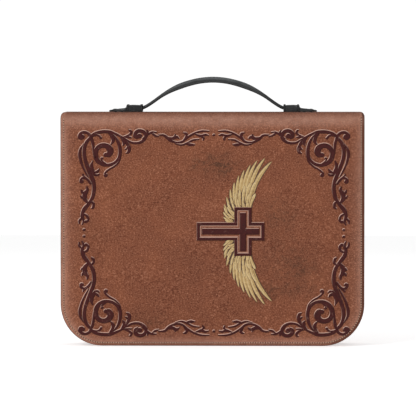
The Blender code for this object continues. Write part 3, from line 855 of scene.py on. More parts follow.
def outline_walk(depth, low_w, pitch, phase=0.0):
    """Evenly spaced points and directions parallel to the edge, from the left's top round to the right's top.
    phase is the first one's share of a step from the start."""
    half = HALF_W - FORE_R
    r = FORE_R - depth
    straight = low_w - FORE_R
    corner = r * math.pi / 2
    total = 2 * straight + 2 * corner + 2 * half
    count = int(total / pitch)
    places = []
    for k in range(count if phase else count + 1):
        s = (k + phase) * total / count
        if s < straight:
            places.append(((-HALF_W + depth, low_w - s), (0, -1)))
        elif s < straight + corner:
            a = (s - straight) / r
            places.append(((-half - r * math.cos(a), FORE_R - r * math.sin(a)), (math.sin(a), -math.cos(a))))
        elif s < straight + corner + 2 * half:
            places.append(((-half + s - straight - corner, depth), (1, 0)))
        elif s < straight + 2 * corner + 2 * half:
            a = (s - straight - corner - 2 * half) / r
            places.append(((half + r * math.sin(a), FORE_R - r * math.cos(a)), (math.cos(a), math.sin(a))))
        else:
            places.append(((HALF_W - depth, FORE_R + s - straight - 2 * corner - 2 * half), (0, 1)))
    return places


def cover_stitching(side):
    """Short stitches in the groove, each between two dark beads of painted shade that stand for needle holes.
    """
    maker = random.Random(5 + side)
    sewing = Builder()
    out = Vector((0, side, 0))
    for (x, w), (dx, dw) in outline_walk(STITCH_INSET, STITCH_TOP, STITCH_PITCH):
        tilt = maker.uniform(-0.12, 0.12) * MM
        length = maker.uniform(0.64, 0.74) * MM
        a = (x - dx * length - dw * tilt, w - dw * length + dx * tilt)
        b = (x + dx * length + dw * tilt, w + dw * length - dx * tilt)
        floor = panel_lift(side, x, w)
        start, end = (on_cover(side, *p, floor + 0.16 * MM) for p in (a, b))
        capsule(sewing, start, end, 0.50 * MM, lift=out * 0.34 * MM, sides=5, slot=0)
        # each needle hole is a dark bead on the leather, painted shade in place of the hole's shadow
        gap = STITCH_PITCH / 2
        hole = on_cover(side, x + dx * gap, w + dw * gap, panel_lift(side, x, w) + 0.10 * MM)
        along = Vector((dx, 0, dw)) * 0.28 * MM
        capsule(sewing, hole - along, hole + along, 0.55 * MM, sides=5, slot=1)
    stitches = sewing.build(f"{COVER[side]}_stitching", [THREAD, NEEDLE_HOLE_SHADE])
    blend_at_fold(stitches)


for cover_side in (FRONT, BACK):
    cover_panel(cover_side)
    cover_stitching(cover_side)
spine_panel()


# ---------------------------------------------------------------- raised border, cross and wings

BORDER_X, BORDER_Z = 1.4 * MM, 107.9 * MM
BORDER_HALF_W, BORDER_HALF_H = 129.5 * MM, 98.6 * MM
RELIEF = 0.75 * MM
RELIEF_EDGE = 0.85 * MM
SUNK = -0.3 * MM


def through(points, widths, step=0.55):
    """A smooth line through a few points, with its width eased between them: lists of (u, v) and width."""
    line, sizes = [], []
    p = [2 * np.array(points[0]) - np.array(points[1])] + [np.array(q, float) for q in points]
    p.append(2 * np.array(points[-1]) - np.array(points[-2]))
    for k in range(1, len(p) - 2):
        p0, p1, p2, p3 = p[k - 1:k + 3]
        count = max(2, int(np.linalg.norm(p2 - p1) / step))
        for i in range(count + (1 if k == len(p) - 3 else 0)):
            t = i / count
            a = 2 * p1 + (p2 - p0) * t + (2 * p0 - 5 * p1 + 4 * p2 - p3) * t * t
            line.append((a + (3 * p1 - p0 - 3 * p2 + p3) * t ** 3) / 2)
            sizes.append(widths[k - 1] + (widths[k] - widths[k - 1]) * smooth_step(0, 1, t))
    return line, sizes


def facing(nx, nz):
    """How much an edge that faces (nx, nz) catches the light from the upper left, from -1 to 1."""
    return max(-1.0, min(1.0, 0.95 * nz - 0.30 * nx))


def raise_point(x, z, height):
    """A place at a height above the front cover's leather."""
    return on_cover(FRONT, x, z, panel_lift(FRONT, x, z) + height)


def raised_stroke(builder, line, widths, height=RELIEF, edge=RELIEF_EDGE):
    """A raised line on the front panel: a level top and two sloping sides, painted with a highlight where a
    side faces up and left and a shade where it faces down and right. line is in world x and z.
    """
    verts, tones = [], []
    count = len(line)
    for i, (x, z) in enumerate(line):
        before, after = line[max(i - 1, 0)], line[min(i + 1, count - 1)]
        dx, dz = after[0] - before[0], after[1] - before[1]
        length = math.hypot(dx, dz) or 1.0
        nx, nz = -dz / length, dx / length
        half = widths[i] / 2
        for sign in (1, -1):
            # the side's painted highlight, negative for a painted shade
            glow = facing(sign * nx, sign * nz)
            shape = [(half + edge, SUNK, glow), (half + 0.12 * MM, height * 0.85, glow), (half, height, 0.0)]
            for reach, lift, tone in (shape if sign > 0 else shape[::-1]):
                verts.append(raise_point(x + sign * nx * reach, z + sign * nz * reach, lift))
                tones.append(tone)
    faces = strip_faces(count, 6)
    faces.append(tuple(range(6)))
    faces.append(tuple(range((count - 1) * 6, count * 6))[::-1])
    builder.add(verts, faces, 0, tones)


def raised_ball(builder, x, z, radius, height=RELIEF, edge=RELIEF_EDGE, steps=18):
    """A raised disc with a slightly domed top, its sloping rim painted with a highlight on the upper left and
    a shade on the lower right.
    """
    verts, tones = [], []
    rings = [(radius + edge, SUNK, 1.0), (radius + 0.12 * MM, height * 0.85, 1.0), (radius, height, 0.0),
             (radius * 0.5, height * 1.1, 0.0)]
    for reach, lift, share in rings:
        for k in range(steps):
            turn = 2 * math.pi * k / steps
            verts.append(raise_point(x + reach * math.cos(turn), z + reach * math.sin(turn), lift))
            tones.append(share * facing(math.cos(turn), math.sin(turn)))
    faces = strip_faces(len(rings), steps, closed_columns=True)
    last = (len(rings) - 1) * steps
    faces.append(tuple(range(last, last + steps)))
    builder.add(verts, faces, 0, tones)


# The scroll border's own design for one corner: each line is its points and its widths there, in millimetres
# inwards from the corner of the border. The other three corners mirror it.
CORNER_SCROLLS = [
    # the curl at the corner, and the long arch that ends in a volute
    ([(12.2, 6.7), (10.3, 3.8), (6.75, 2.3), (3.5, 3.1), (1.6, 5.6), (2.1, 7.8), (4.4, 8.8)],
     [2.4, 2, 2, 2.6, 3, 2.4, 1.2]),
    ([(11.4, 7.4), (13.4, 5.4), (17.3, 3.1), (23.8, 1.8), (30.6, 2.1), (36, 4), (41.5, 6.6), (46, 9.3),
      (51.5, 12.2), (58, 12.4), (63, 9.4), (64.6, 5), (62.2, 1.6), (58, 1), (55.2, 3), (55, 6), (57.6, 7.6)],
     [2, 2.3, 2.4, 2.7, 2.6, 1.8, 1.3, 1.2, 1.5, 1.9, 2.4, 2.7, 2.8, 3, 3.4, 3.6, 2.6]),
    # the ring that winds into a thick spiral, the stem beside it and the tail below it
    ([(31.3, 3.3), (36, 7.7), (39, 13.5), (40.1, 19.7), (39.6, 25.1), (37.4, 29.2), (33.3, 32.3),
      (27.9, 33.6), (23.1, 32.6), (19.1, 29.7), (17.1, 25.8), (16.8, 21.6), (18.4, 17.7), (21.7, 15.3),
      (25.8, 15), (29.3, 16.9), (30.7, 20.3), (29.4, 23.4), (27.2, 24.6)],
     [1.2, 1.4, 2, 2.6, 2.6, 2.3, 2.2, 2.4, 3.1, 3.8, 3.9, 3.6, 3.8, 3.9, 4.1, 5, 5.7, 5, 3.2]),
    ([(12.5, 7.4), (14.1, 12.8), (14.7, 18.3), (15.4, 23.1), (16.8, 26.8)], [2, 1.9, 1.5, 1.5, 1.6]),
    ([(26.6, 32.2), (23.6, 30.4), (22.2, 28.4)], [0.8, 1.2, 1.4]),
    ([(40.3, 26.5), (38.6, 30.9), (34.7, 34.8), (29.9, 37.5), (26.5, 40.3), (25.6, 42.6)],
     [0.8, 1.1, 1.1, 1.1, 1.3, 1.8]),
    # hooks and leaves under the arch
    ([(13.2, 6), (17.6, 5), (20.5, 6.2), (21.7, 8)], [1.2, 1.4, 1.5, 1.3]),
    ([(29.9, 3.4), (32.5, 6.6), (33.4, 10), (32.4, 12.7), (30.8, 14.2)], [1.4, 2.4, 2.7, 1.6, 0.3]),
    ([(40.6, 6.2), (43.2, 9.8), (43.8, 12.8), (42.6, 15.2)], [1.2, 2.4, 2.5, 0.4]),
    ([(44.4, 8.4), (47.2, 13.6), (48.7, 18), (48, 21.2), (45.6, 22.6)], [0.8, 2.2, 2.8, 2.2, 0.3]),
    ([(47.8, 16), (46.2, 18), (44.8, 18.8)], [1.4, 1.2, 0.2]),
    ([(43.4, 6.9), (48.2, 5.2), (50.6, 3), (50, 0.8), (48.4, 0.2)], [0.8, 1.5, 2, 1.5, 0.3]),
    ([(44.5, 7.4), (48.5, 7), (51.6, 7.6)], [0.6, 1.5, 0.3]),
    # the double stem down the side, its leaves and curls
    ([(12.6, 6.9), (8.3, 11.6), (6.2, 16.9), (5.8, 22.4), (6.8, 28.5), (8.9, 34.7), (12, 42.4), (14.7, 50.2),
      (15.2, 57.4), (13.6, 64.8), (9.8, 71), (6.8, 76)],
     [2.2, 2.6, 2.7, 2.6, 2.5, 2.7, 3, 2.9, 2.8, 2.6, 2.3, 1.6]),
    ([(5.4, 13.4), (2.3, 18.6), (1.5, 23.8), (2.5, 29.2), (4.4, 34.7), (7, 40.1), (10, 45.4)],
     [0.4, 1.6, 2.3, 1.7, 1.3, 1, 0.5]),
    ([(14, 29.6), (12.6, 34.7), (13.9, 39.4), (16.4, 44)], [0.3, 2.7, 3.3, 1]),
    ([(15.6, 41.2), (18.4, 39.8), (20.2, 37.4)], [1.9, 2, 0.5]),
    ([(16.2, 43), (18.8, 43.2), (20.6, 41.8)], [1.6, 1.6, 0.5]),
    ([(12.6, 52), (9, 47.4), (5.6, 45.7), (3, 47.2), (2.6, 49.4)], [1.4, 1.8, 1.8, 2, 2.1]),
    ([(8, 46.4), (5.4, 44.2), (4.6, 42.2)], [1.4, 1.4, 0.5]),
    ([(8.4, 54.2), (8.8, 57.4), (6.6, 61), (6.4, 65.6), (9.2, 69.8)], [0.7, 2.1, 3.8, 3.6, 1.6]),
    ([(7.2, 61), (4.4, 59.8), (3.4, 57.4)], [2, 1.9, 0.5]),
    ([(6.8, 64.8), (4.2, 64.8), (2.4, 63)], [2, 1.9, 0.5]),
    ([(12, 67.6), (14.6, 70.6), (14.2, 74), (12.4, 75.4)], [1.1, 1.8, 1.9, 0.7]),
    ([(9.6, 70.6), (5.6, 76), (3.8, 82), (5, 87), (3.6, 91)], [1.9, 3.1, 2.6, 1.5, 0.7]),
    ([(4.6, 80), (8.4, 82.2), (9.6, 85.8), (8, 88)], [1.3, 1.6, 1.6, 1.4]),
    ([(3.8, 83.6), (1.2, 86.6), (0.9, 90)], [1.1, 1.5, 0.5]),
    # the run along the spine side, towards the middle
    ([(61.6, 9.2), (66, 5), (70.4, 2.4), (75, 2.4)], [1.6, 1.4, 1.5, 0.5]),
    ([(64.8, 6.2), (66.4, 3), (65.8, 0.4)], [1, 1.9, 0.5]),
    ([(70, 2.6), (73.6, 5.4), (77.4, 6.4)], [1, 1.5, 0.7]),
    ([(76.5, 4.8), (82.5, 5.4), (86.8, 9), (93, 12), (99.4, 11.2), (104.2, 7.4), (110.4, 3.6), (117.6, 1.3),
      (125.4, 1.2)],
     [0.7, 1.6, 2.1, 1.5, 1.5, 1.5, 1.4, 1.3, 0.5]),
    ([(84.6, 7.4), (89.6, 8.4), (94, 6.8), (96.8, 8.6)], [1.5, 2.5, 2.1, 0.5]),
    ([(90.2, 8), (92.4, 6.2), (92.8, 4.2)], [1.5, 1.4, 0.5]),
    ([(100.8, 10), (103.4, 6.4), (103, 3.8), (100.2, 2.8)], [1.1, 2.1, 2, 0.7]),
    ([(92.6, 13.2), (98.8, 14.4), (104.2, 12.6), (109.6, 9.8), (115.8, 9)], [0.5, 1.1, 1.3, 1.3, 0.5]),
    ([(103.6, 13.4), (107.6, 14.2), (111.8, 14.2)], [1.5, 2.3, 0.5]),
    ([(112, 4.2), (117.4, 5.8), (121.6, 4.6), (124.8, 5.4)], [0.8, 2.1, 1.6, 0.5]),
    ([(117, 5.6), (119.6, 8), (119, 10.4)], [1.1, 1.6, 0.5]),
]
# The beads of one corner, in the same way, with their radius
CORNER_BALLS = [
    (3.8, 6.8, 2.2), (58.6, 5.9, 2.1), (26.4, 23.9, 1.8), (22.9, 27.3, 1.0), (26.4, 43.3, 1.5),
    (21.8, 7.9, 0.9), (3.3, 49.3, 1.7), (7.4, 87.6, 1.2), (5.7, 95.4, 1.0),
]


def border_place(u, v, mirror_x, mirror_z):
    """World x and z of a place in the border, given inwards from one of its corners."""
    x = BORDER_X + mirror_x * (u * MM - BORDER_HALF_W)
    z = BORDER_Z + mirror_z * (BORDER_HALF_H - v * MM)
    return x, z


def scroll_border():
    """The raised scrolls round the front cover: four mirrored corners and two single beads."""
    carving = Builder()
    for mirror_x in (1, -1):
        for mirror_z in (1, -1):
            for points, widths in CORNER_SCROLLS:
                line, sizes = through(points, widths)
                line = [border_place(u, v, mirror_x, mirror_z) for u, v in line]
                raised_stroke(carving, line, [s * MM for s in sizes])
            for u, v, radius in CORNER_BALLS:
                raised_ball(carving, *border_place(u, v, mirror_x, mirror_z), radius * MM)
    for mirror_z in (1, -1):
        raised_ball(carving, BORDER_X, BORDER_Z + mirror_z * (BORDER_HALF_H - 5 * MM), 0.9 * MM)
    border = carving.build("front_scroll_border", [MAROON])
    recalc_normals(border)
    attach(border, "front_cover")


CROSS_X, CROSS_Z = 29.1 * MM, 109.6 * MM


def plus_outline(left, right, up, down, arm, beam):
    """Corners of two crossed bars: arm and beam are half the widths of the upright and the level one."""
    return [(left, beam), (-arm, beam), (-arm, up), (arm, up), (arm, beam), (right, beam),
            (right, -beam), (arm, -beam), (arm, down), (-arm, down), (-arm, -beam), (left, -beam)]


def cross_outline(grow):
    """Corners of a Latin cross lying on its side, its long arm to the left, all sides moved out by grow."""
    left, right, up, down = -43.7 * MM - grow, 20.2 * MM + grow, 23.0 * MM + grow, -23.4 * MM - grow
    return plus_outline(left, right, up, down, 8.1 * MM + grow, 8.4 * MM + grow)


def band(builder, profile):
    """Bands between outlines of the cross. profile lists (grow, lift, slot, share of the edge's tone); the
    tone is a painted highlight on edges facing the light and a painted shade on those facing away.
    """
    corners = cross_outline(0.0)
    for (g0, h0, slot, share), (g1, h1, _, _) in zip(profile, profile[1:]):
        inner, outer = cross_outline(g0), cross_outline(g1)
        for k in range(len(corners)):
            n = (k + 1) % len(corners)
            dx, dz = corners[n][0] - corners[k][0], corners[n][1] - corners[k][1]
            length = math.hypot(dx, dz)
            normal = (-dz / length, dx / length)
            # the edge's painted highlight, negative for a painted shade
            glow = share * facing(*normal)
            count = max(1, int(length / (3 * MM)))
            verts = []
            for i in range(count + 1):
                t = i / count
                for loop, lift in ((inner, h0), (outer, h1)):
                    x = loop[k][0] + (loop[n][0] - loop[k][0]) * t
                    z = loop[k][1] + (loop[n][1] - loop[k][1]) * t
                    verts.append(raise_point(CROSS_X + x, CROSS_Z + z, lift))
            builder.add(verts, strip_faces(count + 1, 2), slot, [glow] * len(verts))


def bar(builder, low_x, high_x, low_z, high_z, lift):
    """A level rectangle of the cross's middle, in steps that follow the panel."""
    xs = np.linspace(low_x, high_x, max(2, int((high_x - low_x) / (3 * MM))))
    zs = np.linspace(low_z, high_z, max(2, int((high_z - low_z) / (3 * MM))))
    verts = [raise_point(CROSS_X + x, CROSS_Z + z, lift) for z in zs for x in xs]
    builder.add(verts, strip_faces(len(zs), len(xs)))


def slope(builder, start, end, top):
    """The sloping side along one edge of the solid cross, from its top down into the leather, with a painted
    highlight where it faces the light and a painted shade where it faces away.
    """
    dx, dz = end[0] - start[0], end[1] - start[1]
    length = math.hypot(dx, dz)
    nx, nz = -dz / length, dx / length
    # the side's painted highlight, negative for a painted shade
    glow = facing(nx, nz)
    shape = ((0.0, top, 0.4 * glow), (0.15 * MM, top * 0.8, glow), (0.8 * MM, SUNK, glow))
    count = max(1, int(length / (3 * MM)))
    verts, tones = [], []
    for i in range(count + 1):
        x, z = CROSS_X + start[0] + dx * i / count, CROSS_Z + start[1] + dz * i / count
        for out, lift, tone in shape:
            verts.append(raise_point(x + nx * out, z + nz * out, lift))
            tones.append(tone)
    builder.add(verts, strip_faces(count + 1, len(shape)), 0, tones)


def cross():
    """A bevelled maroon frame, a leather field with a thin pale line, and a solid cross inside."""
    work = Builder()
    top = 1.15 * MM
    low = 0.15 * MM
    # the frame's outer bevel is painted with highlight and shade by its facing, its inner bevel the other way
    # round
    band(work, [(0.55 * MM, SUNK, 0, 1.0), (-0.1 * MM, top, 0, 0.0), (-2.4 * MM, top, 0, -1.0),
                (-2.9 * MM, low, 2, 0.0), (-3.7 * MM, low, 1, 0.0), (-6.0 * MM, low, 1, 0.0)])
    # the solid cross inside, on its own outline
    left, right, up, down = -38.9 * MM, 15.3 * MM, 17.6 * MM, -18.6 * MM
    arm, beam = 2.7 * MM, 2.6 * MM
    bar(work, left, right, -beam, beam, top)
    bar(work, -arm, arm, beam, up, top)
    bar(work, -arm, arm, down, -beam, top)
    loop = plus_outline(left, right, up, down, arm, beam)
    for k, start in enumerate(loop):
        slope(work, start, loop[(k + 1) % len(loop)], top)
    made = work.build("front_cross", [MAROON, LEATHER_FIELD, PALE_LINE])
    face_along(made, 1, -1)
    made.data.shade_flat()
    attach(made, "front_cover")


def under_cross(x, z):
    """Whether a point, relative to the cross's middle, is hidden by the cross."""
    return (abs(x) < 7.2 and abs(z) < 22.0) or (abs(z) < 7.4 and -42.0 < x < 19.0)


def feather(builder, root, tip, bow, width, height, sign, blunt):
    """One curved feather: a leaf with a rounded root, a ridge along its quill and a dark outline. One side of
    the quill has a painted highlight and the other a faint painted shade, and a blunt feather's tip a painted
    highlight.
    """
    root, tip = np.array(root, float), np.array(tip, float)
    along = tip - root
    length = np.linalg.norm(along)
    side = np.array([-along[1], along[0]]) / length
    control = (root + tip) / 2 + side * bow * length
    count = max(8, int(length / 1.5))
    verts, tones = [], []
    for i in range(count + 1):
        t = i / count
        p = root * (1 - t) ** 2 + control * 2 * t * (1 - t) + tip * t * t
        d = (control - root) * 2 * (1 - t) + (tip - control) * 2 * t
        d /= np.linalg.norm(d)
        n = np.array([-d[1], d[0]])
        half = width / 2 * min(1.0, (t + 0.15) ** 0.3) * (1 - t ** blunt) ** 0.6 + 0.12
        line = min(0.78, half * 0.44)
        rise = height * (1 - 0.2 * t)
        # painted highlight near the tips of the blunt feathers
        shine = 0.45 * smooth_step(0.55, 0.9, t) if blunt > 4 else 0.0
        outer = [(half, -0.3, -1.0), (half - 0.04, rise * 0.7, -1.0), (half - line, rise, -1.0),
                 (half - line - 0.05, rise, shine)]
        # the quill's two sides: a painted highlight and a faint painted shade
        quill = [(0.12, rise + 0.10, 0.3), (-0.12, rise + 0.10, -0.1)]
        for reach, lift, tone in outer + quill + [(-r, h, tone) for r, h, tone in outer[::-1]]:
            q = p + n * reach
            if under_cross(q[0], q[1]):
                lift = -0.4
            verts.append(raise_point(CROSS_X + q[0] * MM, CROSS_Z + sign * q[1] * MM, lift * MM))
            tones.append(tone)
    across = 10
    faces = strip_faces(count + 1, across)
    faces.append(tuple(range(across)))
    faces.append(tuple(range(count * across, count * across + across))[::-1])
    builder.add(verts, faces, 0, tones)


# Each row of feathers: the points its tips pass through, how many there are, their width and height in
# millimetres, how blunt their tips are and how much they curl
FEATHER_ROWS = [
    ([(-17.6, 26.0), (-16.4, 30.5), (-12.9, 38.5), (-8.6, 46.0), (-4.0, 53.0), (1.4, 58.6), (7.4, 63.6),
      (13.0, 67.2), (20.6, 69.8), (27.6, 66.6)], 10, 5.6, 0.26, 4, 1.0),
    ([(-18.0, 23.0), (-12.8, 31.4), (-6.4, 37.6), (0.6, 43.0), (7.6, 47.0), (13.2, 48.8)],
     8, 4.6, 0.42, 6, 0.8),
    ([(-18.8, 18.6), (-13.6, 25.0), (-6.8, 30.0), (0.2, 33.6), (6.6, 36.0), (12.2, 36.2)],
     7, 4.0, 0.58, 8, 0.5),
    ([(-18.8, 13.8), (-14.8, 18.6), (-8.8, 23.4), (-1.8, 26.8), (4.6, 27.6)], 7, 3.4, 0.74, 8, 0.1),
    ([(-17.0, 10.6), (-14.0, 14.2), (-9.6, 17.8), (-4.6, 20.6)], 5, 2.9, 0.86, 8, -0.2),
]


def wing(builder, sign):
    """Rows of feathers that fan out from behind the cross, the longest at the back."""
    roots, _ = through([(-7.0, 5.0), (-5.5, 9.0), (-2.0, 15.0), (3.0, 18.5), (6.2, 20.0)], [1] * 5, 0.4)
    for tips, count, width, height, blunt, curl in FEATHER_ROWS:
        line, _ = through(tips, [1] * len(tips), 0.4)
        for k in range(count):
            share = k / (count - 1)
            tip = line[int(round(share * (len(line) - 1)))]
            root = roots[int(round(share ** 0.8 * (len(roots) - 1)))]
            root = np.array(root) + (np.array(tip) - np.array(root)) * 0.05
            bow = curl * (0.08 + 0.13 * share)
            wide = width * (0.85 + 0.2 * share)
            feather(builder, root, tip, bow, wide, height + 0.02 * (k % 2), sign, blunt)


def wings():
    """Two gold wings, one above and one below the cross's long bar."""
    plumage = Builder()
    for sign in (1, -1):
        wing(plumage, sign)
    made = plumage.build("front_wings", [GOLD])
    recalc_normals(made)
    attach(made, "front_cover")


scroll_border()
wings()
cross()


# ---------------------------------------------------------------- walls, tapes and teeth round the opening

TAPE_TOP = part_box("front_zipper_tape")[1].z
GUSSET_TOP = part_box("front_gusset")[1].z
ZIP_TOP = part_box("back_zipper_teeth")[1].z


def run_frames(top, step=2.5 * MM):
    """Places along the case's outline, from the left's top down, round the fore-edge and up the right side:
    (x, z, inward x, inward z)."""
    half = HALF_W - FORE_R
    frames = []
    for w in np.linspace(top, FORE_R, max(2, int((top - FORE_R) / step)))[:-1]:
        frames.append((-HALF_W, w, 1.0, 0.0))
    for a in np.linspace(0, math.pi / 2, 22):
        frames.append((-half - FORE_R * math.cos(a), FORE_R - FORE_R * math.sin(a), math.cos(a), math.sin(a)))
    for x in np.linspace(-half, half, int(2 * half / step))[1:-1]:
        frames.append((x, 0.0, 0.0, 1.0))
    for a in np.linspace(0, math.pi / 2, 22):
        frames.append((half + FORE_R * math.sin(a), FORE_R - FORE_R * math.cos(a), -math.sin(a), math.cos(a)))
    for w in np.linspace(FORE_R, top, max(2, int((top - FORE_R) / step)))[1:]:
        frames.append((HALF_W, w, -1.0, 0.0))
    return frames


def sweep_run(name, side, section, top, materials):
    """A closed section of (inset, distance from the middle) in millimetres, swept round the opening."""
    frames = run_frames(top)
    verts = []
    for x, z, nx, nz in frames:
        for inset, y in section:
            verts.append((x + nx * inset * MM, side * y * MM, z + nz * inset * MM))
    count = len(section)
    faces = strip_faces(len(frames), count, closed_columns=True)
    faces += [tuple(range(count)), tuple(range((len(frames) - 1) * count, len(frames) * count))[::-1]]
    made = make_mesh(name, verts, faces, materials)
    recalc_normals(made)
    return sharp(made, 50)


def gusset(side):
    """The leather side wall of one cover, with a turned and sewn edge beside the zip."""
    label = COVER[side]
    section = [(5.9, 24.7), (4.75, 24.7), (4.25, 22.5), (3.95, 18.5), (3.95, 14.5), (4.2, 11.6), (4.5, 10.2),
               (4.72, 9.75), (4.72, 9.45), (4.5, 9.1), (4.42, 8.5), (4.6, 8.05), (5.0, 7.85), (5.7, 7.85),
               (6.0, 8.3), (5.9, 9.4), (5.6, 11.0), (5.5, 18.0)]
    wall = sweep_run(f"{label}_side_wall", side, section, GUSSET_TOP, [LEATHER_PLAIN])
    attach(wall, f"{label}_cover")
    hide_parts(f"{label}_gusset")
    sewing = Builder()
    for x, z, nx, nz in run_frames(GUSSET_TOP - 2 * MM, 3.4 * MM)[1:-1]:
        along = Vector((-nz, 0, nx)) * 1.3 * MM
        centre = Vector((x + nx * 4.62 * MM, side * 9.6 * MM, z + nz * 4.62 * MM))
        lift = Vector((-nx, 0, -nz)) * 0.2 * MM
        capsule(sewing, centre - along, centre + along, 0.28 * MM, lift, sides=5)
    seam = sewing.build(f"{label}_side_wall_stitching", [THREAD])
    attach(seam, f"{label}_cover")


def zipper_tape(side):
    """One half of the zip's woven tape, doubled over along its edge where the teeth sit."""
    label = COVER[side]
    section = [(6.1, 12.0), (6.1, 7.0), (6.05, 4.4), (5.75, 4.0), (5.7, 3.3), (6.0, 2.95), (6.6, 2.95),
               (6.85, 3.6), (6.8, 7.0), (6.8, 12.0)]
    tape = sweep_run(f"{label}_zipper_tape_cloth", side, section, TAPE_TOP, [TAPE])
    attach(tape, f"{label}_cover")
    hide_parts(f"{label}_zipper_tape")


TOOTH_PITCH = 2.0 * MM
TOOTH_INSET = 6.2 * MM


def zipper_teeth(side):
    """Separate teeth that reach past the middle and mesh with those of the other row."""
    label = COVER[side]
    left_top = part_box(f"{label}_zipper_teeth")[1].z
    if side == FRONT:
        left_top = max(v.co.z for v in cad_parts["front_zipper_teeth"].data.vertices if v.co.x < 0)
    teeth = Builder()
    phase = 0.25 if side == FRONT else 0.75
    for p, t in outline_walk(TOOTH_INSET, ZIP_TOP, TOOTH_PITCH, phase):
        if p[0] < 0 and p[1] > left_top - 0.6 * MM:
            continue
        n = (-t[1], t[0])
        verts = []
        for depth in (-1.0, -0.65, 0.65, 1.0):
            slim = 0.8 if abs(depth) > 0.9 else 1.0
            x, z = p[0] + n[0] * depth * MM, p[1] + n[1] * depth * MM
            for y, wide in ((2.6, 0.50), (0.9, 0.34), (0.35, 0.46), (-0.42, 0.40)):
                for sign in (-1, 1):
                    along = sign * wide * slim * MM
                    verts.append((x + t[0] * along, side * y * MM, z + t[1] * along))
        faces = []
        for layer in range(3):
            a, b = layer * 8, layer * 8 + 8
            loop = [0, 2, 4, 6, 7, 5, 3, 1]
            faces += [(a + i, a + j, b + j, b + i) for i, j in zip(loop, loop[1:] + loop[:1])]
        faces += [(0, 1, 3, 2), (2, 3, 5, 4), (4, 5, 7, 6), (24, 26, 27, 25), (26, 28, 29, 27),
                  (28, 30, 31, 29)]
        teeth.add(verts, faces)
    made = teeth.build(f"{label}_zipper_teeth_row", [TEETH])
    recalc_normals(made)
    made.data.shade_flat()
    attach(made, f"{label}_cover")
    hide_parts(f"{label}_zipper_teeth")


# ---------------------------------------------------------------- lining, pockets and the Bible

LINING_Y = 21.0  # the lining's face towards the board, from the middle, in millimetres
LINING_WALL = 0.7 * MM
LINING_INSET = 6.3 * MM
LINING_R = 3.2 * MM
LINING_TURN_Z = 213.4 * MM
LINING_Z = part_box("spine_lining")[0].z
SLEEVE_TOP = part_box("front_sleeve")[1].z
POCKET_INSET = 8 * MM
BINDING_HALF = HALF_W - 8.6 * MM


def inside_loop(points, loop):
    """Which of the points lie inside a closed outline, by counting crossings."""
    pts = np.asarray(points, float)
    inside = np.zeros(len(pts), bool)
    for k, a in enumerate(loop):
        b = loop[(k + 1) % len(loop)]
        if a[1] == b[1]:
            continue
        crosses = (pts[:, 1] > min(a[1], b[1])) & (pts[:, 1] <= max(a[1], b[1]))
        at = a[0] + (pts[:, 1] - a[1]) * (b[0] - a[0]) / (b[1] - a[1])
        inside ^= crosses & (pts[:, 0] < at)
    return inside


def fill(outline, step):
    """Points and triangles that cover a closed outline: its own points first, then a grid inside it."""
    loop = [np.array(p, float) for p in outline]
    low, high = np.min(loop, 0), np.max(loop, 0)
    xs = np.arange(low[0] + step * 0.5, high[0], step)
    zs = np.arange(low[1] + step * 0.5, high[1], step)
    grid = [(x, z) for z in zs for x in xs]
    keep = inside_loop(grid, loop)
    edge = np.array(loop)
    kept = []
    for p, ok in zip(grid, keep):
        if ok and np.min(np.hypot(edge[:, 0] - p[0], edge[:, 1] - p[1])) > 0.45 * step:
            kept.append(p)
    flat = [Vector(p) for p in outline] + [Vector(p) for p in kept]
    border = [(i, (i + 1) % len(outline)) for i in range(len(outline))]
    out = delaunay_2d_cdt(flat, border, [], 1, 1e-7)
    order = [min(sources) for sources in out[3]]
    points = [tuple(p) for p in list(outline) + kept]
    return points, [tuple(order[i] for i in triangle) for triangle in out[2]]


def round_outline(half, low, high, radius, step=3 * MM, corner_steps=10, top_radius=0.0):
    """A closed outline with rounded lower corners, its straight sides cut into short lengths."""
    turns = np.linspace(0, math.pi / 2, corner_steps)
    corner = [(-half + radius * (1 - math.cos(a)), low + radius * (1 - math.sin(a))) for a in turns]
    flat = half - radius
    bottom = [(x, low) for x in np.linspace(-flat, flat, int(flat * 2 / step))[1:-1]]
    right = [(-x, z) for x, z in corner[::-1]]
    zs = np.linspace(low + radius, high - top_radius, int((high - low - radius) / step))
    up = [(half, z) for z in zs[1:]]
    if top_radius:
        up += [(half - top_radius * (1 - math.cos(a)), high - top_radius * (1 - math.sin(a)))
               for a in np.linspace(0, math.pi / 2, 5)[1:]]
    flat = half - top_radius
    top = [(x, high) for x in np.linspace(flat, -flat, int(2 * half / step))[1:-1]]
    left = [(-x, z) for x, z in up[::-1]]
    return corner + bottom + right + up + top + left[:-1] + ([left[-1]] if left[-1] != corner[0] else [])


def lining_place(side, x, w, lift):
    """A place on a cover's inside: up its face, round a small fold and under the spine. lift is inwards."""
    if w <= LINING_TURN_Z:
        return (x, side * (LINING_Y * MM - lift), w)
    turn = min((w - LINING_TURN_Z) / LINING_R, math.pi / 2)
    reach = LINING_R - lift
    y = LINING_Y * MM - LINING_R + reach * math.cos(turn)
    z = LINING_TURN_Z + reach * math.sin(turn)
    return (x, side * (y - max(w - LINING_TURN_Z - LINING_R * math.pi / 2, 0.0)), z)


LINING_TOP = LINING_TURN_Z + LINING_R * math.pi / 2


